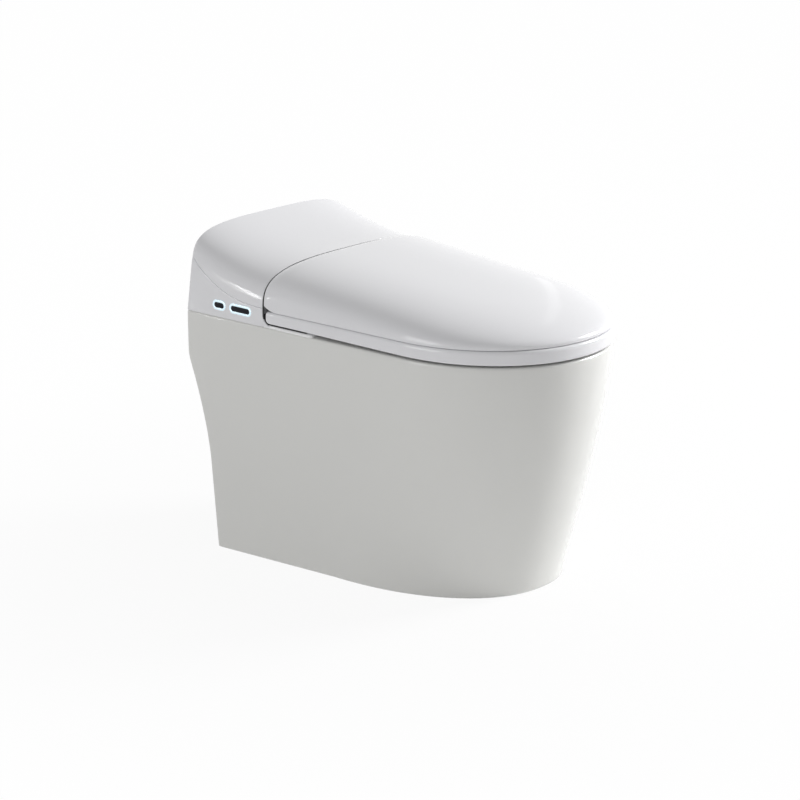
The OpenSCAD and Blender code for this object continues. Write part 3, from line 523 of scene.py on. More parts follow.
# Shares of the way to the hole, and how far the top has fallen there
FALL = [(0.1, 0.0), (0.25, 0.0), (0.4, 0.0001), (0.5, 0.0003), (0.6, 0.0007), (0.7, 0.0014), (0.78, 0.0023),
        (0.85, 0.0035), (0.91, 0.005), (0.95, 0.0066), (0.98, 0.0086), (0.995, 0.011), (1, 0.0135)]


def hang(rows):
    """The lip of the shell hangs lower towards the front, and clears the plate's arms at the back."""
    for row in rows:
        for p in row:
            reach = min(1.0, max(0.0, (0.09 - p.y) / 0.3))
            share = max(0.0, 1 - (p.z - low_z) / 0.006)
            p.z += (0.0014 - 0.0030 * reach ** 0.8) * share
    return rows


top_rows = [seat_ring(0, low_z, -LIP), seat_ring(0, low_z, -0.0024)]
for a in arc(0, 90, 5):
    top_rows.append(seat_ring(0, low_z + TURN_IN * (1 - math.cos(a)), -TURN_IN * (1 - math.sin(a))))
top_rows += [seat_ring(0, low_z + 0.008), seat_ring(0, seat_top - 0.008)]
for a in arc(0, 90, 7):
    top_rows.append(seat_ring(0, seat_top - 0.006 * (1 - math.sin(a)), -0.004 * (1 - math.cos(a))))
top_rows += [seat_ring(share, seat_top - fall) for share, fall in FALL]
roof, ledge = SPLIT + 0.0002, SPLIT - 0.0002
top_rows += [seat_ring(1, SPLIT + 0.0004), seat_ring(0.9, roof)]
top_rows += [seat_ring(0.5, roof), seat_ring(0, roof, -LIP)]
hang(top_rows)
top_rows.append(top_rows[0])
seat_shell = finish_mesh(press(top_rows), "seat_shell")
# The lower shell runs from its outer edge over the top to the hole and back below
low_rows = [seat_ring(0, low_z + 0.0016, -LIP - 0.0003), seat_ring(0, ledge, -LIP - 0.0003)]
low_rows += [seat_ring(0.5, ledge), seat_ring(0.99, ledge), seat_ring(1, SPLIT - 0.001)]
low_rows += [seat_ring(1, low_z + 0.001), seat_ring(0.99, low_z), seat_ring(0.5, low_z)]
low_rows += [seat_ring(0.06, low_z, -LIP), seat_ring(0, low_z + 0.0012, -LIP - 0.0009)]
low_rows.append(low_rows[0])
seat_floor = finish_mesh(press(low_rows), "seat_floor")
print("seat rows", len(top_rows), "and", len(low_rows))

# %% [markdown]
# The seat swings up over the plate's arms, so its lower back corner is rounded. A notch in the middle
# clears the hinge.

# %% Heel and notch of the seat
HEEL = 0.014
heel_y = seat_rear - HEEL
heel_z = low_z + 0.0014 + HEEL


def bar(bm, profile):
    """A bar across the whole toilet, from its profile in y and z."""
    face = bm.faces.new([bm.verts.new((-0.25, y, z)) for y, z in profile])
    push(bm, [face], (0.5, 0, 0))


def hinge_notch():
    low, high = (-0.105, hinge.y - 0.026, low_z - 0.01), (0.105, seam + 0.02, seat_top + 0.01)
    return cutter("notch", brick(low, high, 0.006, 2))


def heel(bm):
    """What rounds the seat's lower back corner: a bar with a quarter round taken out of it."""
    profile = [(heel_y + HEEL * math.cos(a), heel_z + HEEL * math.sin(a)) for a in arc(-90, 0, 12)]
    profile += [(seat_rear + 0.004, heel_z), (seat_rear + 0.004, low_z - 0.004), (heel_y, low_z - 0.004)]
    bar(bm, profile)


for piece in (seat_shell, seat_floor):
    carve(piece, [hinge_notch(), cutter("heel", heel)])
    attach(piece, "seat")
print("seat hole", round(2 * hole_half, 3), "by", round(2 * hole_reach, 3), "m")

# %% [markdown]
# The lid is a shallow dome. Its height falls away from a crown line down the middle, and near the
# edge it turns over in a tight, even shoulder. Rows are taken at equal turns of the shoulder rather
# than equal widths, so the tight bend gets most of the points. A Solidify gives the sheet its wall.

# %% Lid
# How far the lid stands in from the seat's sides, how far its edge hangs below its base, and its wall
LID_IN, LID_DROP, LID_WALL = 0.0012, 0.0012, 0.0035
lid_tip = front + 0.005
lid_reach = nose - lid_tip
shoulder_z = lid_base + 0.002


def crown_line(y):
    """The height of the lid's middle, which dips a little just before the seam."""
    d = seam - y
    return crown - 0.048 * d / 0.505 - 0.0074 * max(0.0, 1 - d / 0.025) ** 2


def lid_width(y):
    return side(y) - LID_IN * (seam - y) / (seam - nose) if y > nose else narrow - LID_IN


def lid_point(step, rho):
    """A point at a share rho of the way from the middle of the lid to its edge."""
    kind, place = step
    if kind == "side":
        y = seam + (nose - seam) * place
        x = lid_width(y) * rho
    else:
        y = nose - lid_reach * rho * math.sin(place) ** (2 / POWER)
        x = (narrow - LID_IN) * rho * max(0.0, math.cos(place)) ** (2 / POWER)
    thin = min(1.0, (seam - y) / 0.4)
    swell = max(0.0, 1 - rho ** (3.2 - 0.2 * thin)) ** (1 / (3.2 - 1.3 * thin))
    return Vector((x, y, shoulder_z + (crown_line(y) - shoulder_z) * swell))


LID_STEPS = [("side", i / 26) for i in range(26)] + [("front", a) for a in arc(0, 90, 60)]


def both_sides(half):
    """A whole row from its half, which ends on the middle line."""
    half[-1].x = 0
    return half + [Vector((-p.x, p.y, p.z)) for p in reversed(half[:-1])]


def lid_row(rho, z=None):
    row = both_sides([lid_point(step, rho) for step in LID_STEPS])
    return row if z is None else [Vector((p.x, p.y, z)) for p in row]


def lid_rows():
    rows = [lid_row(math.sin(a) ** 0.6) for a in arc(0, 90, 48)]
    rows.append(lid_row(1, lid_base - LID_DROP))
    return rows


lid = finish_mesh(press(lid_rows()), "lid_dome")
settle(lid, ("SOLIDIFY", dict(thickness=LID_WALL, offset=-1, use_even_offset=True)))
soften(lid, 0.0012, lambda p: p.y > seam - NEAR and p.z > lid_base + 0.004)
soften(lid, 0.0009, lambda p: p.z < lid_base - LID_DROP + NEAR and p.y < seam - 0.002)


def heel_round(bm):
    """Take the lid's lower back corners to a circle round the hinge."""
    radius = hinge.z - seat_top - 0.001
    profile = [(hinge.y + radius * math.cos(a), hinge.z + radius * math.sin(a)) for a in arc(-89, -40, 14)]
    start_y, end_z = profile[0][0], profile[-1][1]
    profile += [(seam + 0.02, end_z), (seam + 0.02, lid_base - 0.01), (start_y, lid_base - 0.01)]
    bar(bm, profile)


carve(lid, [cutter("heel_round", heel_round)])
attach(lid, "lid")
print("lid", round(lid_reach, 4), "m of round front")

# %% [markdown]
# The housing behind the lid is an arch that climbs and widens towards the wall. A parting line
# sweeps up each side: below it a side panel stands on the plate, above it the cover spans the back.

# %% Housing
COVER_WALL, PANEL_WALL = 0.0035, 0.003
# Half the gap of the parting line
PART_GAP = 0.0002
# Where the front edge stands behind the seam
first = cover_low.y - seam + 0.0009
seam_top = rim + 0.0966
back_top = cover_high.z
run = rear - seam


def back_share(s):
    """How far towards the back a distance s behind the seam is, from 0 to 1."""
    return max(0.0, s) / run


def crest(s):
    """The height of the housing's middle."""
    return seam_top + (back_top - seam_top) * back_share(s) ** 1.8


def house_width(s, z):
    """The sides lean in towards the back, and the rear corner is rounded."""
    turn = max(0.0, min(1.0, (s - run + CORNER) / CORNER))
    lean_in = 0.013 * back_share(s) * min(1.0, (z - rim) / 0.09)
    return side(seam + s) - lean_in - CORNER * (1 - math.sqrt(1 - turn ** 2))


ARCH = 3.2


def powers(s):
    """The superellipse powers of the arch, upwards and across, which grow towards the back."""
    g = back_share(s)
    return ARCH + 3.3 * g, ARCH + 0.3 * g


def house_x(s, z):
    """Half the housing's width at a height."""
    upward, across = powers(s)
    rise = max(0.0, min(1.0, (z - seat_top) / (crest(s) - seat_top)))
    return house_width(s, z) * (1 - rise ** upward) ** (1 / across)


def part_line(s):
    """The height of the parting line between panel and cover."""
    return seat_top + 0.0044 + (back_top - seam_top + 0.0212) * back_share(s) ** 2.4


def cover_row(s, low):
    """An arch at distance s behind the seam, from the parting line over the crest and down again."""
    top = crest(s)
    upward, across = powers(s)
    start = math.degrees(math.asin(((low - seat_top) / (top - seat_top)) ** (upward / 2)))
    half = []
    for a in arc(start, 90, 46):
        z = seat_top + (top - seat_top) * math.sin(a) ** (2 / upward)
        half.append(Vector((house_width(s, z) * max(0.0, math.cos(a)) ** (2 / across), seam + s, z)))
    return both_sides(half)


stations = [first + (run - CORNER - first) * (i / 40) for i in range(40)]
stations += [run - CORNER * (1 - math.sin(a)) for a in arc(0, 90, 6)]


def trim_back(piece):
    """Flatten what a wall's thickness pushes past the back of the toilet."""
    for vert in piece.data.vertices:
        vert.co.y = min(vert.co.y, rear)


cover_rows = [cover_row(s, part_line(s) + PART_GAP) for s in stations]
cover = finish_mesh(press(cover_rows), "rear_dome")
settle(cover, ("SOLIDIFY", dict(thickness=COVER_WALL, offset=-1, use_even_offset=True)))
trim_back(cover)
soften(cover, 0.0008, lambda p: p.y < seam + first + NEAR)
soften(cover, 0.0006, lambda p: p.z < part_line(p.y - seam) + 0.001
       and seam + first + 0.003 < p.y < rear - 0.006)
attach(cover, "frame")


def panel_rows(sign):
    rows = []
    for s in stations:
        low, high = rim + 0.0003, part_line(s) - PART_GAP
        heights = [low + (high - low) * k / 20 for k in range(21)]
        rows.append([Vector((sign * house_x(s, z), seam + s, z)) for z in heights])
    return rows


panel_right = finish_mesh(press(panel_rows(-1)), "side_panel_keys")
panel_left = finish_mesh(press(panel_rows(1)), "side_panel_plain")
for panel in (panel_right, panel_left):
    middle = sum(v.co.x for v in panel.data.vertices) / len(panel.data.vertices)
    outward = sum(f.normal.x for f in panel.data.polygons) * middle > 0
    settle(panel, ("SOLIDIFY", dict(thickness=PANEL_WALL, offset=-1 if outward else 1, use_even_offset=True)))
    trim_back(panel)
    soften(panel, 0.0015, lambda p: p.z > part_line(p.y - seam) - 0.0006 and p.y < rear - 0.006)
    soften(panel, 0.0012, lambda p: p.y < seam + first + NEAR and heel_z < p.z < part_line(0) - 0.003)
print("housing", round(back_top - rim, 4), "m above the rim")

# %% [markdown]
# The seam between lid and housing reads as a fine dark line because a thin black strip on the housing's
# front edge paints shade into the gap. It is a flat strip between arches that are drawn in by different
# amounts.

# %% Painted shade in the seam
plate_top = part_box("base_plate")[1].z


def heading(path, i):
    """The direction of a path at one of its points, as two shares of a unit."""
    (a0, b0), (a1, b1) = path[max(0, i - 1)], path[min(len(path) - 1, i + 1)]
    length = math.hypot(a1 - a0, b1 - b0)
    return (a1 - a0) / length, (b1 - b0) / length


def arch(s, inset):
    """The housing's section from the plate over the crest and down, drawn in along its normal."""
    top = crest(s)
    half = [(house_width(s, seat_top), plate_top + (seat_top - plate_top) * k / 8) for k in range(8)]
    for a in arc(0, 90, 60):
        z = seat_top + (top - seat_top) * math.sin(a) ** (2 / ARCH)
        half.append((house_width(s, z) * max(0.0, math.cos(a)) ** (2 / ARCH), z))
    drawn = []
    for i, (x, z) in enumerate(half):
        along_x, along_z = heading(half, i)
        drawn.append(Vector((x - inset * along_z, seam + s, z + inset * along_x)))
    return both_sides(drawn)


lip_s, step_s, bond_s = first - 0.0018, first - 0.0004, first + 0.0001
seam_strip_rows = [arch(lip_s, 0.00025), arch(lip_s, 0.0014), arch(step_s, 0.0018), arch(step_s, 0.0028)]
seam_strip_rows += [arch(bond_s, 0.0028), arch(bond_s, 0.00025)]
seam_strip_rows.append(seam_strip_rows[0])
# The black strip is painted shade for the seam's gap
seam_shade_strip = finish_mesh(cap_ends(press(seam_strip_rows)), "seam_shade_strip")
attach(seam_shade_strip, "frame")
print("black_rubber_and_shade", len(seam_shade_strip.data.vertices), "vertices")

# %% [markdown]
# The housing stands on a plate that reaches forward under the seat as two arms with rounded edges.
# It has a slot for the nozzle and round holes for the dryer, the odour duct and the bolts.

# %% Plate
# The arms' reach and the radius of their ends, and how far the plate stands in under the panels
ARM, ARM_END = 0.104, 0.007
PLATE_IN = 0.0041
GAP = first + seam - seat_rear
HOLLOW = HEEL + GAP


def plate_line():
    """The plate's outline: one arm, its mirror, and the part under the housing."""
    edge = side(seam - ARM + 0.012) + 0.0016
    half = [(side(seam) - 0.0004, seam + 0.001), (edge, seam - ARM + 0.012)]
    for middle, start in ((edge - ARM_END, 0), (bowl_half + 0.012, -90)):
        half += [(middle + ARM_END * math.cos(a), seam - ARM + ARM_END + ARM_END * math.sin(a))
                 for a in arc(start, start - 90, 6)]
    half += [(bowl_half + 0.005, seam - 0.05), (0.088, seam - 0.062)]
    tail = [(side(rear) - PLATE_IN - 0.003, rear - PLATE_IN), (side(rear) - PLATE_IN, rear - CORNER - 0.003),
            (side(seam) - PLATE_IN, seam + 0.001)]
    return half + [(-x, y) for x, y in reversed(half)] + [(-x, y) for x, y in reversed(tail)] + tail


bm = bmesh.new()
plate_face = bm.faces.new([bm.verts.new((x, y, rim + 0.0001)) for x, y in plate_line()])
push(bm, [plate_face], (0, 0, plate_top - rim - 0.0001))
plate = finish_mesh(bm, "deck_plate")
soften(plate, 0.0024, lambda p: p.z > plate_top - NEAR and p.y < seam and abs(p.x) > 0.19)
bolt_low, bolt_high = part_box("base_bolts")
bolt_x, bolt_y = bolt_high.x - 0.009, (bolt_low.y + bolt_high.y) / 2


def drill(x, y, radius):
    """A cutter's build step: an upright drum through the plate."""
    def build(bm):
        sizes = dict(radius1=radius, radius2=radius, depth=0.03)
        made = bmesh.ops.create_cone(bm, cap_ends=True, segments=40, **sizes)["verts"]
        bmesh.ops.translate(bm, vec=(x, y, rim + 0.005), verts=made)
    return build


port_low, port_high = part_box("dryer_impeller")
port_x, port_y = (port_low.x + port_high.x) / 2, (port_low.y + port_high.y) / 2
slot_low, slot_high = (-0.023, seam - 0.07, rim - 0.01), (0.023, seam + 0.087, rim + 0.02)
openings = [cutter("nozzle_room", brick(slot_low, slot_high))]
for sign in (-1, 1):
    openings.append(cutter("port", drill(sign * port_x, port_y, 0.014)))
    openings.append(cutter("bolt_hole", drill(sign * bolt_x, bolt_y, 0.0053)))
carve(plate, openings)
print("plate", len(plate.data.polygons), "faces")

# %% [markdown]
# A cheek fills the corner between each panel and its arm, hollowed by a barrel for the seat's heel.
# A black strip in the same corner paints the shade of the gap under the seat, and carries on the seam's strip.

# %% Cheeks and painted shade strips


def cheek(sign):
    """The corner between the panel and the arm, hollowed round the seat's heel."""
    outer, inner = sign * (side(seam) - 0.0001), sign * (side(seam) - 0.0036)
    low = (min(outer, inner), heel_y + 0.0015, plate_top - 0.003)
    high = (max(outer, inner), seam + first, heel_z - 0.004)
    bm = bmesh.new()
    brick(low, high)(bm)
    piece = finish_mesh(bm, "cheek_right" if sign < 0 else "cheek_left")

    def barrel(bm):
        turned = Matrix.Rotation(math.pi / 2, 3, "Y")
        bmesh.ops.create_cone(bm, cap_ends=True, segments=160, radius1=HOLLOW, radius2=HOLLOW, depth=0.5)
        bmesh.ops.rotate(bm, cent=(0, 0, 0), matrix=turned, verts=bm.verts)
        bmesh.ops.translate(bm, vec=(0, heel_y, heel_z), verts=bm.verts)

    carve(piece, [cutter("heel_barrel", barrel)])
    return soften(piece, 0.0008, lambda p: abs(math.hypot(p.y - heel_y, p.z - heel_z) - HOLLOW) < NEAR
                  and abs(p.x - outer) < NEAR and p.z < heel_z - 0.005)


def corner_shade_strip(sign):
    """A black strip of painted shade that runs along the arm, round the heel and up to the seam's strip."""
    path = [(seam - ARM + 0.014, plate_top), (heel_y + 0.0026, plate_top)]
    path += [(heel_y + HOLLOW * math.cos(a), heel_z + HOLLOW * math.sin(a)) for a in arc(-79, 0, 16)]
    rows = []
    for edge, lift in ((0.0018, 0.0), (0.0018, 0.0005), (0.014, 0.0005), (0.014, 0.0), (0.0018, 0.0)):
        row = []
        for i, (y, z) in enumerate(path):
            along_y, along_z = heading(path, i)
            row.append(Vector((sign * (side(y) - edge), y - lift * along_z, z + lift * along_y)))
        rows.append(row)
    return finish_mesh(cap_ends(press(rows)), "corner_shade_right" if sign < 0 else "corner_shade_left")


# Black strips that paint the shade of the gap under the seat
cheeks = [cheek(-1), cheek(1)]
corner_shade_strips = [corner_shade_strip(-1), corner_shade_strip(1)]
for piece in [plate] + cheeks:
    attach(piece, "frame")
for piece in corner_shade_strips:
    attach(piece, "frame")
print("gap round the seat", round(GAP * 1000, 1), "mm")

# %% [markdown]
# Two long keys sit low on the panel. Each is a glossy black pill in a bright bezel. A pill's outline
# is an extruded circle pulled apart in the middle, and bevels round its edges.

# %% Keys
key_boxes = {name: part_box(name) for name in ("key_large", "key_small", "key_bezel_large", "key_bezel_small")}
key_z = (key_boxes["key_large"][0].z + key_boxes["key_large"][1].z) / 2


def pill(bm, y, length, height, x_out, x_in, round_by=0.0, hollow=0.0):
    """A bar along X with round ends; round_by rounds its outer rim, hollow makes it a ring."""
    made = bmesh.ops.create_circle(bm, cap_ends=True, segments=48, radius=height / 2)["verts"]
    for vert in made:
        place = vert.co.copy()
        pull = (length - height) / 2 * (1 if place.x > 1e-6 else -1 if place.x < -1e-6 else 0)
        vert.co = Vector((x_in, y + place.x + pull, key_z + place.y))
    bm.normal_update()
    if hollow:
        even = dict(use_boundary=True, use_even_offset=True)
        bmesh.ops.inset_region(bm, faces=bm.faces[:], thickness=hollow, **even)
        middle = max(bm.faces, key=lambda f: len(f.verts))
        bmesh.ops.delete(bm, geom=[middle], context="FACES_ONLY")
    push(bm, list(bm.faces), (x_out - x_in, 0, 0))
    if round_by:
        bmesh.ops.recalc_face_normals(bm, faces=bm.faces)
        face_edges = [e for e in bm.edges if all(abs(v.co.x - x_out) < 1e-6 for v in e.verts)]
        round_off(bm, [e for e in face_edges if e.calc_face_angle(0) > SHARP], round_by)


# The bezel's width, and how much larger than its slot it is
RING, FLANGE = 0.0042, 0.0026
key_pieces = {}
slots_cut = []
for size in ("large", "small"):
    low, high = key_boxes["key_bezel_" + size]
    y, length, height = (low.y + high.y) / 2, high.y - low.y, high.z - low.z
    through = (-wide - 0.01, -wide + 0.02)
    slots_cut.append(cutter("slot_" + size, lambda tool: pill(tool, y, length, height, *through)))
    bm = bmesh.new()
    pill(bm, y, length + FLANGE, height + FLANGE, low.x - 0.0004, low.x + 0.0012, 0.0009, hollow=RING)
    key_pieces["bezel_" + size] = finish_mesh(bm, "bezel_" + size)
    low, high = key_boxes["key_" + size]
    bm = bmesh.new()
    inside = 2 * RING - FLANGE + 0.0004
    pill(bm, y, length - inside, height - inside, low.x, low.x + 0.009, 0.0014)
    key_pieces["cap_" + size] = finish_mesh(bm, "cap_" + size)

carve(panel_right, slots_cut)
for panel in (panel_right, panel_left):
    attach(panel, "frame")
for size in ("large", "small"):
    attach(key_pieces["bezel_" + size], "frame")
    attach(key_pieces["cap_" + size], size + "_key")
print("keys at z", round(key_z, 4))

# %% [markdown]
# Each new piece now stands for the node that it was measured from, so that node is hidden.

# %% Stand for the frame's nodes
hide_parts("ceramic_pan")
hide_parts("seat_top")
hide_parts("seat_base")
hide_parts("lid_shell")
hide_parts("rear_cover")
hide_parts("base_plate")
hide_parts("side_panel_right")
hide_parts("side_panel_left")
for size in ("large", "small"):
    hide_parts("key_bezel_" + size)
    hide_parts("key_" + size)
print("pan", [round(v, 4) for v in pan.dimensions], "node", [round(v, 4) for v in pan_high - pan_low])

# %% [markdown]
# A material's colour, polish and bump are small sums over the surface. They read best when written
# as sums, so one class wraps a socket and turns Python's signs into Math nodes.

# %% Material maths


class Reading:
    """One number that varies over a surface."""

    def __init__(self, nodes, socket):
        self.nodes = nodes
        self.socket = socket

    def _math(self, operation, first, second):
        return self.nodes.add("ShaderNodeMath", dict(operation=operation), {0: first, 1: second})

    def __add__(self, other):
        return self._math("ADD", self, other)

    def __radd__(self, other):
        return self._math("ADD", other, self)

    def __sub__(self, other):
        return self._math("SUBTRACT", self, other)

    def __rsub__(self, other):
        return self._math("SUBTRACT", other, self)

    def __mul__(self, other):
        return self._math("MULTIPLY", self, other)

    def __rmul__(self, other):
        return self._math("MULTIPLY", other, self)


class Nodes:
    """A node tree, and one way to add any node to it."""

    def __init__(self, tree):
        self.tree = tree

    def _feed(self, socket, value):
        if isinstance(value, Reading):
            self.tree.links.new(value.socket, socket)
        else:
            socket.default_value = value

    def add(self, kind, settings, inputs, output=0):
        made = self.tree.nodes.new(kind)
        for key, value in settings.items():
            setattr(made, key, value)
        for key, value in inputs.items():
            self._feed(made.inputs[key], value)
        return Reading(self, made.outputs[output])


class Finish(Nodes):
    """A material for one finish of this toilet, with its shader ready to be set."""

    def __init__(self, name, **sockets):
        self.material = bpy.data.materials.new(name)
        self.material.use_nodes = True
        super().__init__(self.material.node_tree)
        self.shader = self.tree.nodes["Principled BSDF"]
        self.set(**sockets)

    def set(self, **sockets):
        for key, value in sockets.items():
            self._feed(self.shader.inputs[key.replace("_", " ")], value)
        return self

    def place(self):
        return self.add("ShaderNodeTexCoord", {}, {}, "Object")

    def noise(self, scale, detail=2.0):
        inputs = {"Vector": self.place(), "Scale": scale, "Detail": detail}
        return self.add("ShaderNodeTexNoise", {}, inputs, "Fac")

    def mix(self, factor, first, second):
        return self.add("ShaderNodeMix", dict(data_type="RGBA"), {0: factor, 6: first, 7: second}, 2)

    def tint(self, scale, light, dark, detail=2.0):
        """Base colour in soft patches between two colours."""
        patches = self.noise(scale, detail)
        return self.set(Base_Color=self.mix(patches, (*light, 1), (*dark, 1)))

    def bump(self, height, strength, reach):
        inputs = {"Height": height, "Strength": strength, "Distance": reach}
        return self.set(Normal=self.add("ShaderNodeBump", {}, inputs, "Normal"))


def paint(finish, *pieces):
    print(finish.material.name, "paints", len(pieces))
    for piece in pieces:
        piece.data.materials.clear()
        piece.data.materials.append(finish.material)
        for slot in piece.material_slots:
            slot.material = finish.material


# %% [markdown]
# Glazed china is white clay under a thick clear glass. The glass is what shines: it pools a little,
# so reflections in it waver slightly, and it greys very faintly where it is thin.

# %% Glazed china
china = Finish("glazed_china", Coat_Weight=0.5, Coat_Roughness=0.03)
thin = china.noise(5.0, 3.0)
china.set(Base_Color=china.mix(thin * 0.6, (0.79, 0.79, 0.765, 1), (0.765, 0.765, 0.745, 1)))
china.set(Roughness=0.13 + 0.08 * china.noise(11.0))
china.bump(china.noise(9.0, 1.0) + 0.15 * china.noise(70.0, 2.0), 0.08, 0.004)
paint(china, pan, trapway)

# %% [markdown]
# The lid, seat and covers are moulded in a white gloss plastic. It is cooler than the china, and a
# fine skin from the mould blurs what it reflects. The plate is given a brighter white as painted light,
# so that its edge shows as a light line under the seat.

# %% White gloss plastic
gloss = Finish("white_plastic", Coat_Weight=0.4, Coat_Roughness=0.03)
gloss.tint(4.0, (0.86, 0.86, 0.88), (0.84, 0.84, 0.865))
gloss.set(Roughness=0.1 + 0.06 * gloss.noise(16.0, 3.0))
gloss.bump(gloss.noise(420.0, 2.0) + 0.6 * gloss.noise(26.0), 0.03, 0.0015)
paint(gloss, lid, cover, panel_left, panel_right, seat_shell, seat_floor, *cheeks)
# A brighter white that paints light onto the plate's edge
plate_painted_bright = Finish("plate_white_painted_brighter", Coat_Weight=0.4, Coat_Roughness=0.03)
plate_painted_bright.tint(6.0, (0.95, 0.95, 0.955), (0.92, 0.92, 0.93))
plate_painted_bright.set(Roughness=0.12 + 0.06 * plate_painted_bright.noise(16.0, 3.0))
paint(plate_painted_bright, plate)
WHITE_NODES = ("back_panel", "seat_hinge_arms", "lid_liner", "lid_hinge_lugs", "wash_nozzle", "dryer_flap")
paint(gloss, *[node[name] for name in WHITE_NODES])

# %% [markdown]
# Hidden mouldings are left with a spark-eroded matt grain, pale grey for the carriers and charcoal
# for the motors and pumps. A fine noise makes the grain, and a coarser one the handling marks.

# %% Matt mouldings


def grained(name, light, dark, grain):
    made = Finish(name)
    made.tint(18.0, light, dark, 3.0)
    made.set(Roughness=0.48 + 0.16 * made.noise(60.0))
    return made.bump(made.noise(grain, 2.0), 0.25, 0.0004)


pale = grained("inner_plastic", (0.62, 0.63, 0.64), (0.56, 0.57, 0.58), 1600.0)
charcoal = grained("dark_plastic", (0.05, 0.05, 0.055), (0.035, 0.035, 0.04), 1400.0)
PALE_NODES = ("front_bulkhead", "hinge_pedestal", "nozzle_housing", "dryer_duct", "dryer_blower",
              "deodorizer_duct", "deodorizer_fan", "heater_tank", "power_supply")
DARK_NODES = ("seat_actuator", "lid_actuator", "nozzle_motor", "dryer_impeller", "deodorizer_wheel",
              "inlet_valve", "air_pump", "cord_gland")
paint(pale, *[node[name] for name in PALE_NODES])
paint(charcoal, *[node[name] for name in DARK_NODES])

# %% [markdown]
# The keys are polished black, and their bezels a cool bright plating with a trace of blue. The bolts,
# the hinge's shafts and the water connector are a plainer brushed steel.

# %% Keys and metal
black = Finish("key_black", Specular_IOR_Level=0.14)
black.tint(300.0, (0.003, 0.004, 0.007), (0.006, 0.008, 0.013))
black.set(Roughness=0.16 + 0.08 * black.noise(120.0))
plating = Finish("key_silver", Metallic=1.0)
plating.tint(200.0, (0.70, 0.90, 1.0), (0.82, 0.94, 1.0))
plating.set(Roughness=0.2 + 0.1 * plating.noise(500.0, 3.0))
steel = Finish("steel", Metallic=1.0)
steel.tint(40.0, (0.6, 0.61, 0.63), (0.5, 0.51, 0.53), 3.0)
steel.set(Roughness=0.28 + 0.14 * steel.noise(350.0, 2.0))
steel.bump(steel.noise(900.0), 0.1, 0.0002)
paint(black, key_pieces["cap_large"], key_pieces["cap_small"])
paint(plating, key_pieces["bezel_large"], key_pieces["bezel_small"])
STEEL_NODES = ("base_bolts", "seat_drive_shaft", "lid_drive_shaft", "inlet_connector")
paint(steel, *[node[name] for name in STEEL_NODES])

# %% [markdown]
# What is left is soft or thin: two rubbers, the black one also painting shade in the seam and under the seat,
# the copper foil that warms the seat, the green lacquer of the circuit boards, and the dusty black of the
# carbon filter.

# %% Rubber, copper, boards and filter
rubber = grained("soft_rubber", (0.6, 0.6, 0.6), (0.54, 0.54, 0.54), 900.0)
black_rubber_and_shade = grained("seal_rubber", (0.025, 0.025, 0.025), (0.04, 0.04, 0.04), 700.0)
copper = Finish("copper_foil", Metallic=1.0)
copper.tint(30.0, (0.72, 0.4, 0.24), (0.6, 0.32, 0.2), 3.0)
copper.set(Roughness=0.3 + 0.2 * copper.noise(90.0))
board = Finish("board_green")
board.tint(500.0, (0.02, 0.13, 0.05), (0.03, 0.2, 0.08), 1.0)
board.set(Roughness=0.3 + 0.2 * board.noise(200.0))
carbon = grained("filter_black", (0.015, 0.015, 0.015), (0.03, 0.03, 0.03), 500.0)
paint(rubber, node["seat_bumpers"], node["lid_bumpers"])
# The outlet seal is real black rubber; the seam and corner strips use it as painted shade
paint(black_rubber_and_shade, node["outlet_seal"], seam_shade_strip, *corner_shade_strips)
paint(copper, node["seat_heater"])
paint(board, node["control_board"], node["key_board"])
paint(carbon, node["carbon_filter"])

# %% [markdown]
# A product picture like this one is lit by large soft lamps in a white room. The floor and the world
# are white to the camera and to mirrors, and a calm grey to everything else, so that the object is
# lit by the lamps and its shadow still lies on the floor.

# %% Floor and world


def room_ray(nodes):
    """1 for rays from the camera, from a gloss or through glass, else 0."""
    direct = nodes.add("ShaderNodeLightPath", {}, {}, "Is Camera Ray")
    path = direct.socket.node.outputs
    glossy, through = Reading(nodes, path["Is Glossy Ray"]), Reading(nodes, path["Is Transmission Ray"])
    return nodes.add("ShaderNodeMath", dict(operation="MAXIMUM"), {0: direct, 1: glossy + through})


floor_finish = Finish("floor_white", Base_Color=(0.86, 0.86, 0.86, 1), Roughness=0.6)
glow = floor_finish.add("ShaderNodeEmission", {}, {"Color": (1, 1, 1, 1), "Strength": 1.0})
plain = Reading(floor_finish, floor_finish.shader.outputs[0])
far = floor_finish.add("ShaderNodeVectorMath", dict(operation="LENGTH"), {0: floor_finish.place()}, "Value")
clamped = dict(operation="MULTIPLY", use_clamp=True)
open_floor = floor_finish.add("ShaderNodeMath", clamped, {0: far - 0.35, 1: 1.2})
whiteness = room_ray(floor_finish) * (0.92 + 0.07 * open_floor)
shown = floor_finish.add("ShaderNodeMixShader", {}, {0: whiteness, 1: plain, 2: glow})
floor_finish.tree.links.new(shown.socket, floor_finish.tree.nodes["Material Output"].inputs["Surface"])

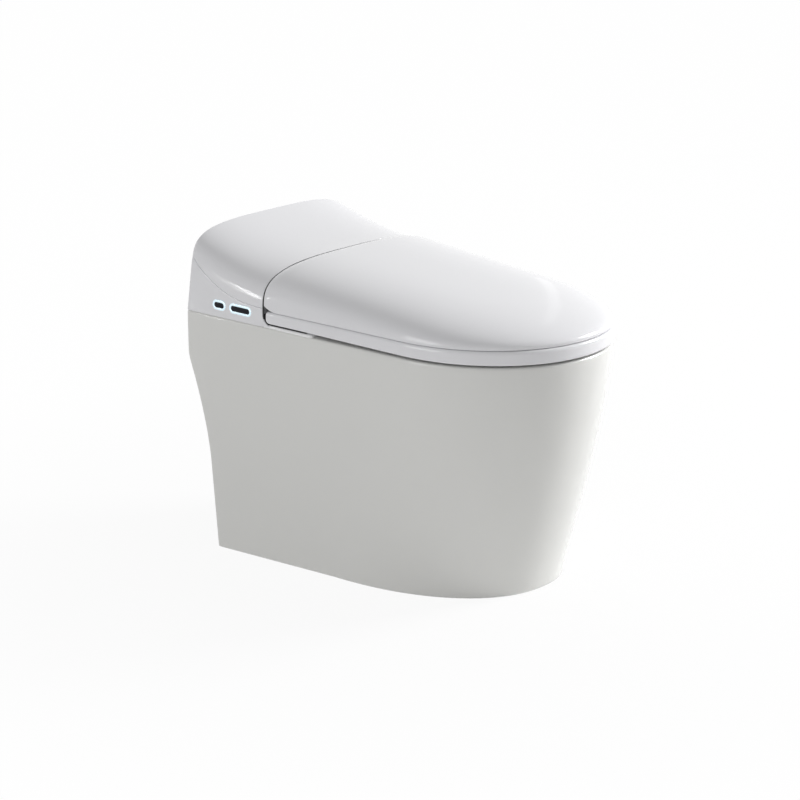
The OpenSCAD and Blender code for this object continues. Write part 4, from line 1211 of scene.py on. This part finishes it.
bm = bmesh.new()
bmesh.ops.create_grid(bm, x_segments=1, y_segments=1, size=12)
bmesh.ops.translate(bm, vec=(0, 0, -0.0005), verts=bm.verts)
floor = finish_mesh(bm, "floor")
paint(floor_finish, floor)

world = bpy.data.worlds.new("studio")
bpy.context.scene.world = world
world.use_nodes = True
room = Nodes(world.node_tree)
surround = room.tree.nodes["Background"]
surround.inputs["Strength"].default_value = 0.335
surround.inputs["Color"].default_value = (1, 1, 1, 1)
backdrop = room.add("ShaderNodeBackground", {}, {"Color": (1, 1, 1, 1), "Strength": 1.0})
calm = Reading(room, surround.outputs[0])
choice = room.add("ShaderNodeMixShader", {}, {0: room_ray(room), 1: calm, 2: backdrop})
room.tree.links.new(choice.socket, room.tree.nodes["World Output"].inputs["Surface"])
print("world nodes:", len(room.tree.nodes))

# %% [markdown]
# A large lamp to the camera's right lights the front, and a weak one on the left fills the keys' side.
# Two narrow ones behind the toilet draw bright lines along the housing and the lid.

# %% Lamps


def softbox(name, place, target, size, power, long=(0, 0, 1)):
    light = bpy.data.lights.new(name, "AREA")
    light.shape = "RECTANGLE"
    light.size, light.size_y = size
    light.energy = power
    lamp = bpy.data.objects.new(name, light)
    bpy.context.scene.collection.objects.link(lamp)
    out_line = (Vector(place) - Vector(target)).normalized()
    across = Vector(long).cross(out_line).normalized()
    axes = Matrix((across, out_line.cross(across), out_line)).transposed()
    lamp.matrix_world = Matrix.Translation(Vector(place)) @ axes.to_4x4()
    return lamp


lamps = [
    softbox("key_lamp", (2.8, -1.5, 2.0), (0, 0, 0.35), (1.1, 1.1), 128),
    softbox("left_fill", (-2.7, 0.7, 0.7), (0, 0, 0.25), (1.4, 1.4), 13),
    softbox("back_strip", (-2.4, 2.25, 0.5), (-0.2, 0.19, 0.45), (0.12, 0.5), 1.7),
    softbox("window_bar", (2.34, 1.2, 1.6), (0, -0.2, 0.46), (0.08, 1.6), 0.1, long=(-0.486, -0.67, 1.29)),
]
bpy.context.scene.view_settings.view_transform = "Standard"
print("lamps:", len(lamps))
